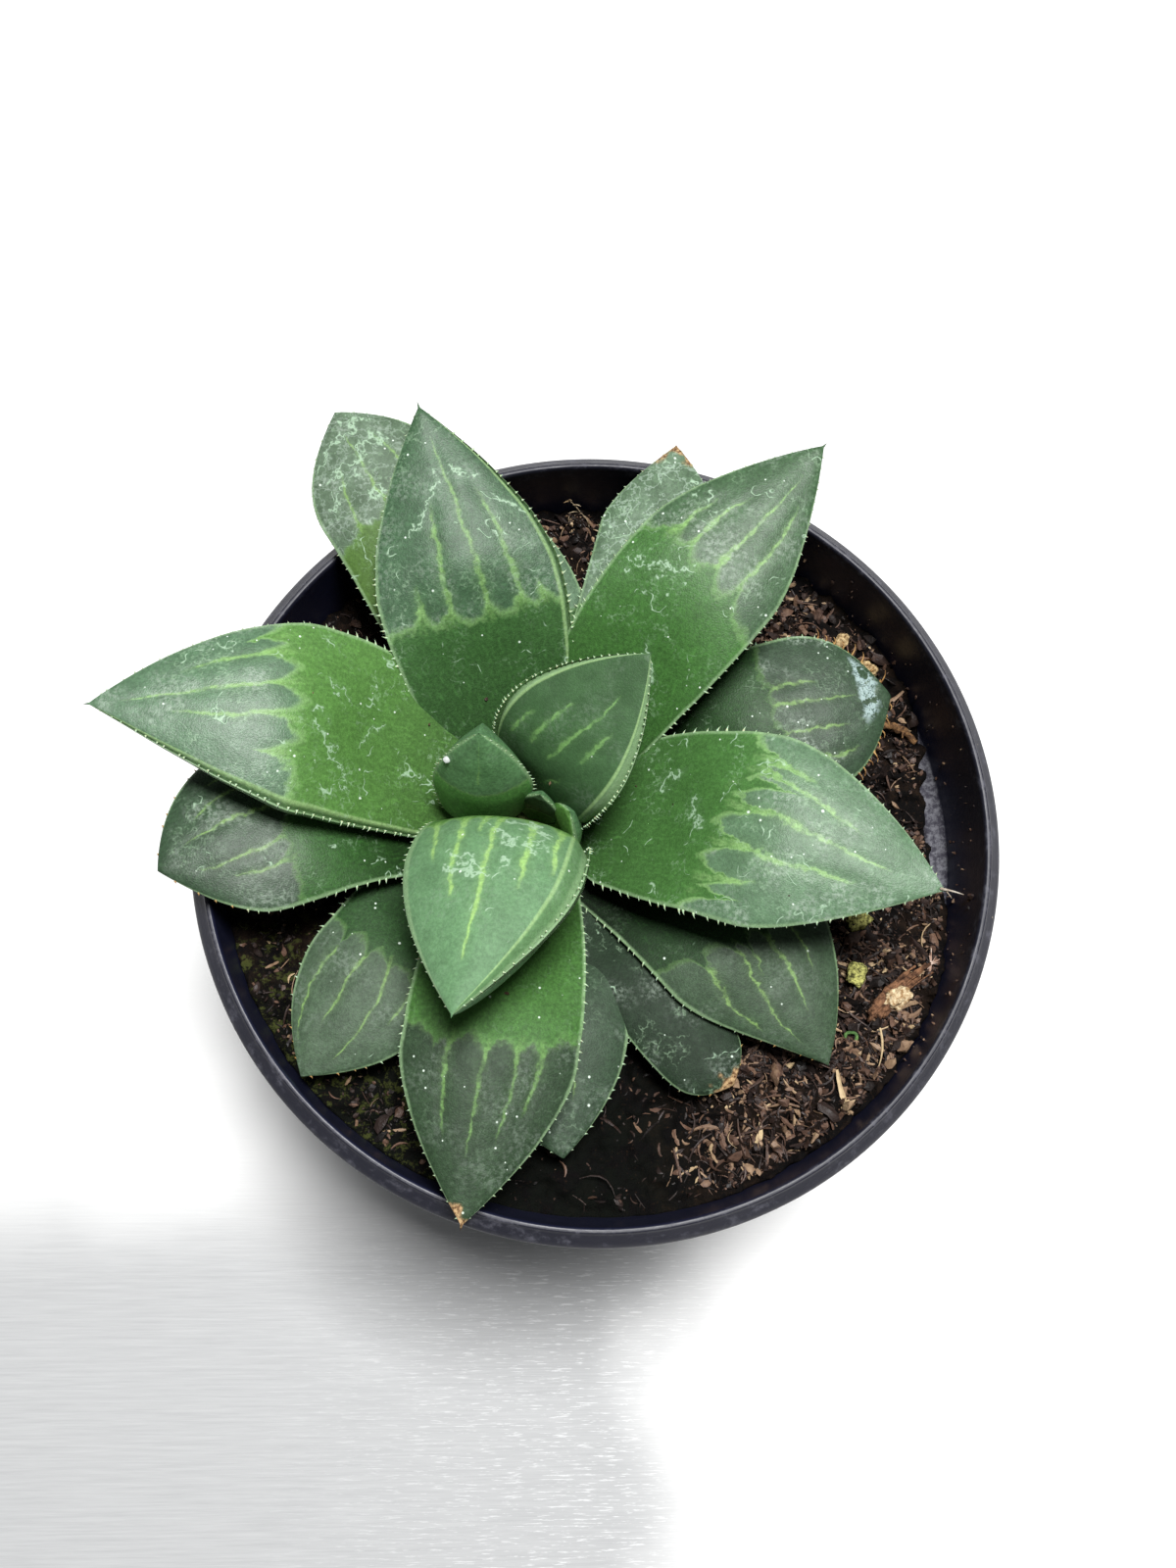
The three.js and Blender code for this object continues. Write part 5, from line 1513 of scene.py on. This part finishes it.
def water_material():
    """Water: pale as a painted highlight, glossy and partly clear."""
    sheet, finish = new_material("water", Roughness=0.12, Specular_IOR_Level=0.5,
                                 Transmission_Weight=0.35)
    # Painted highlight: the drop is coloured near white, where clear water would glint.
    pale = rgb(236, 244, 240)
    tone = sheet.noise(sheet.millimetres(), 2.0)
    return finish(sheet.blend(tone, pale, times(pale, 1.2)))


def leaf_place(name, t, u):
    """A point on a leaf's face, with the ways along, to the left and up out of it."""
    leaf = LEAF_SHAPES[name]
    point, along, left, up = leaf_frames(leaf, np.array([t]))
    half = leaf_half_width(leaf, np.array([t]))
    swollen = smooth((t - leaf["swell_from"]) / 0.35)
    crown = mix(-CHANNEL, leaf["swell"], swollen) * half
    return (point + left * u * half + up * crown * (1 - u * u))[0], along[0], left[0], up[0]


def leaf_trifles():
    """The dry spine at the tip of the right leaf, browned hairs round the tip of the
    lower right one, loose flecks, and a drop of water by the margin of the incurved
    one."""
    tip, along, left, up = leaf_place("leaf_upper_right", 0.995, 0.0)
    parts = [hair(tip - 0.3 * along, tip + 2.1 * along + 0.3 * left, 0.25 * up, 0.17),
             hair(tip + 0.3 * along, tip + 1.1 * along - 0.5 * left, 0.1 * up, 0.08)]
    dry_piece("leaf_spine", parts, "leaf", ("spine_horn", (150, 132, 110), (222, 214, 200), 0.5))
    rng = np.random.default_rng(81)
    parts = []
    for t, side in zip(np.linspace(0.84, 0.99, 16), np.tile([1, -1], 8)):
        foot, along, left, up = leaf_place("leaf_lower_right", t, 0.98 * side)
        away = left * side + along * rng.uniform(-0.2, 0.7) + up * rng.uniform(-0.2, 0.3)
        parts.append(hair(foot, foot + away * rng.uniform(0.6, 1.4), 0.2 * along, 0.13, 4))
    dry_piece("leaf_hairs", parts, "leaf", ("hair_horn", (112, 74, 38), (206, 164, 104), 0.5))
    spots = [("leaf_upper_back", 0.25, 0.15), ("leaf_young_right", 0.37, -0.2),
             ("leaf_upper_right", 0.23, 0.4), ("leaf_upper_left", 0.25, -0.45),
             ("leaf_upper_left", 0.55, -0.2), ("leaf_upper_back_right", 0.3, 0.3),
             ("leaf_upper_front", 0.5, 0.1)]
    places = [leaf_place(*spot) for spot in spots]
    centre = np.array([place + 0.25 * up for place, _, _, up in places])
    crumbs_at("leaf_flecks", rng, centre, rng.uniform(0.3, 0.5, len(spots)), (6.0, 4.0))
    foot, _, _, up = leaf_place("leaf_young_incurved", 0.72, 0.93)
    ball, triangles = octahedron_ball()
    ball = ball * [1.0, 0.9, 0.75] * 0.52
    drop = mesh_piece("leaf_drop", foot + up * 0.25 + ball, [triangles], [water_material()])
    smoother = drop.modifiers.new("rounder", "SUBSURF")
    smoother.levels = smoother.render_levels = 2
    settle(drop, "young_leaf")


def dead_sprig():
    """A dried forked sprig that stands out of the mix at the back, by the wall."""
    root = np.array([-0.6, 40.9, soil_at(-0.6, 40.9) - 0.4])
    fork, top = np.array([-1.9, 41.7, 67.0]), np.array([-3.3, 42.1, 69.3])
    shoot = mix(fork, top, 0.6)
    parts = [hair(root, fork, (0.3, 0, 0.2), 0.14), hair(fork, top, (0.2, -0.2, 0.1), 0.12),
             hair(fork, fork + [-1.5, -0.5, 0.5], (0, 0, 0.3), 0.1),
             hair(shoot, shoot + [0.9, -0.6, 0.8], (0, 0, 0.2), 0.1),
             hair(top - [0.1, 0, 0.3], top + [-0.7, -0.5, 0.2], (0, 0, 0.1), 0.13),
             hair(top, top + [0.3, -0.4, 0.6], (0, 0, 0.1), 0.12),
             hair(root, root + [2.4, -1.6, 0.9], (0, 0, 0.5), 0.1)]
    dry_piece("soil_sprig", parts, "soil", ("sprig_straw", (140, 116, 84), (232, 214, 180)))


def moss_ring():
    """A tiny green ring on the mix, left by a moss plant: a torus of rings."""
    count, sides = 24, 10
    turns, round_it = around(count), around(sides)
    x, y = 28.6, -23.3
    out = stacked(np.cos(turns), np.sin(turns), 0.15 * np.cos(turns + 1))
    core = out * (0.62 + 0.05 * np.sin(3 * turns))[:, None]
    body = out[:, None] * np.cos(round_it)[:, None]
    body = body + np.array([0, 0, 1.0]) * np.sin(round_it)[:, None]
    points = core[:, None] + 0.2 * body + [x, y, soil_at(x, y) + 0.6]
    quads = grid_faces(count + 1, sides) % (count * sides)
    material = wood_material("moss_green", (60, 96, 48), (112, 150, 82), 0.6)
    settle(mesh_piece("soil_moss_ring", points.reshape(-1, 3), [quads], [material]), "soil")


def bark_strip():
    """A rust-brown strip of bark across the mix by the cream chip, frayed at one end:
    shreds side by side, each a flattened tube, and pale threads at the end."""
    rng = np.random.default_rng(91)
    start, end = np.array([30.6, -21.6]), np.array([38.6, -14.9])
    way = (end - start) / np.hypot(*(end - start))
    across = np.array([-way[1], way[0]])
    s = np.linspace(0, 1, 18)
    shreds = []
    for index in range(9):
        shift = (index - 4) * 0.2 + rng.uniform(-0.1, 0.1)
        first, last = sorted(rng.uniform([0.0, 0.72], [0.18, 1.0]))
        share = mix(first, last, s)[:, None]
        flat = mix(start, end, share) + across * (shift + 0.5 * np.sin(np.pi * share))
        height = soil_surface(flat[:, 0], flat[:, 1])
        rest = np.maximum(height, np.mean(height)) + 0.4 * np.sin(np.pi * s)
        rest = rest + 0.25 + rng.uniform(0, 0.25)
        knots = 1 + 0.3 * noise(np.repeat(s[:, None] * 9 + index, 3, axis=1), 1.0, 92)
        line = np.column_stack([flat, rest])
        shreds.append(tube(line, mix(0.3, 0.12, s) * knots, 8, 93 + index, 0.12))
    dry_piece("soil_bark_strip", shreds, "soil", ("bark_rust", (66, 42, 28), (150, 108, 78)))
    tip = np.array([*end, soil_at(*end) + 0.7])
    threads = []
    for _ in range(9):
        flat = way * rng.uniform(-0.3, 1.5) + across * rng.uniform(-0.6, 1.4)
        off = np.array([*flat, rng.uniform(-0.3, 0.5)])
        threads.append(hair(tip - 0.5 * off, tip + off, (0, 0, 0.15), rng.uniform(0.1, 0.2)))
    dry_piece("soil_bark_fray", threads, "soil", ("fray_pale", (164, 128, 108), (226, 204, 188)))


stem_piece()
leaf_trifles()
bark_strip()
dead_sprig()
moss_ring()
TAN = wood_material("chip_tan_bark", (112, 82, 46), (222, 196, 146), scale=2.0)
GREEN = wood_material("chip_green_bark", (58, 56, 26), (214, 212, 124), scale=2.6)
CREAM = wood_material("chip_cream_husk", (150, 112, 68), (246, 228, 188), scale=2.2)
chip_piece("chip_tan_upper", "chip_tan", TAN, 60, 71)
chip_piece("chip_tan_lower", "chip_tan", TAN, -30, 72)
chip_piece("chip_green_upper", "chip_green", GREEN, 20, 73)
chip_piece("chip_green_lower", "chip_green", GREEN, 80, 74)
chip_piece("chip_cream", "chip_cream", CREAM, 35, 75)
twig_piece()


# ---------------------------------------------------------------- floor, light and camera

def floor_material():
    """White board, grey with faint streaks at the front left as painted shade over its
    streaky grain, with fine painted white glints on the streaks.
    """
    sheet, finish = new_material("studio_floor", Specular_IOR_Level=0.3)
    place = sheet.millimetres()
    x, y, _ = sheet.parts(place)
    grain = sheet.compose(x * 0.08, y * 2.2)
    streaks = sheet.noise(grain, 1.0, 4.0, 0.7)
    cloud = sheet.noise(place, 0.03, 3.0) * 30.0 - 15.0
    # Painted shade: the floor turns grey towards the front left, with a soft uneven edge.
    left = sheet.step(x + cloud, 26.0, 2.0)
    front = sheet.step(cloud * 0.4 + y, -34.0, -56.0)
    grey = sheet.blend(streaks, (172, 173, 174), (206, 207, 207))
    # Painted glints: fine near-white streaks in the grey, more of them towards the right.
    glints = sheet.noise(sheet.vector("MULTIPLY", grain, (3.5, 1.6, 1.0)), 1.0, 3.0, 0.7)
    tops = sheet.step(glints, 0.56, 0.64) * sheet.step(x, -60.0, 20.0)
    grey = sheet.blend(tops * 0.7, grey, (244, 245, 245))
    colour = sheet.blend(left * front, (250, 250, 249), grey)
    return finish(colour, 0.5, streaks, 0.1, 0.4)


FLOOR_REACH = 1500
FLOOR_DROP = 0.02  # just under the foot, so that the two don't shimmer
floor_corners = [[x * FLOOR_REACH, y * FLOOR_REACH, -FLOOR_DROP]
                 for x, y in ((-1, -1), (1, -1), (1, 1), (-1, 1))]
floor = mesh_piece("studio_floor", np.array(floor_corners), [np.array([[0, 1, 2, 3]])],
                   [floor_material()])


def soft_light(name, place, target, size, power):
    """A square area light at a place, aimed at a target, both in millimetres."""
    lamp = bpy.data.lights.new(name, "AREA")
    lamp.shape = "SQUARE"
    lamp.size = size * MM
    lamp.energy = power
    holder = bpy.data.objects.new(name, lamp)
    holder.location = Vector(place) * MM
    aim = Vector(target) - Vector(place)
    holder.rotation_euler = aim.to_track_quat("-Z", "Y").to_euler()
    bpy.context.scene.collection.objects.link(holder)


soft_light("key_light", (70, 150, 950), (-5, 0, 70), 240, 12.4)

world = bpy.data.worlds.new("studio")
bpy.context.scene.world = world
world.use_nodes = True
backdrop = world.node_tree.nodes["Background"].inputs
backdrop["Color"].default_value = (0.96, 0.98, 1.0, 1.0)
backdrop["Strength"].default_value = 0.12

bpy.context.scene.view_settings.view_transform = "Standard"

# The camera looks down on the pot from a little in front of its middle.
CAMERA_PLACE = (-7.79, -34.39, 212.02)
CAMERA_FORWARD = (0.0459, 0.2693, -0.9620)
CAMERA_RIGHT = (0.9989, 0.0, 0.0477)
LONG_SIDE_SENSOR = 36.0
LENS = 29.25


def photo_camera():
    """A camera whose axes are its right, its up and away from its view."""
    forward = Vector(CAMERA_FORWARD).normalized()
    right = Vector(CAMERA_RIGHT).normalized()
    up = right.cross(forward)
    data = bpy.data.cameras.new("photo_camera")
    data.sensor_fit = "VERTICAL"
    data.sensor_height = LONG_SIDE_SENSOR
    data.lens = LENS
    data.clip_start = 0.01
    camera = bpy.data.objects.new("photo_camera", data)
    turn = Matrix((right, up, -forward)).transposed().to_4x4()
    camera.matrix_world = Matrix.Translation(Vector(CAMERA_PLACE) * MM) @ turn
    bpy.context.scene.collection.objects.link(camera)
    bpy.context.scene.camera = camera


photo_camera()
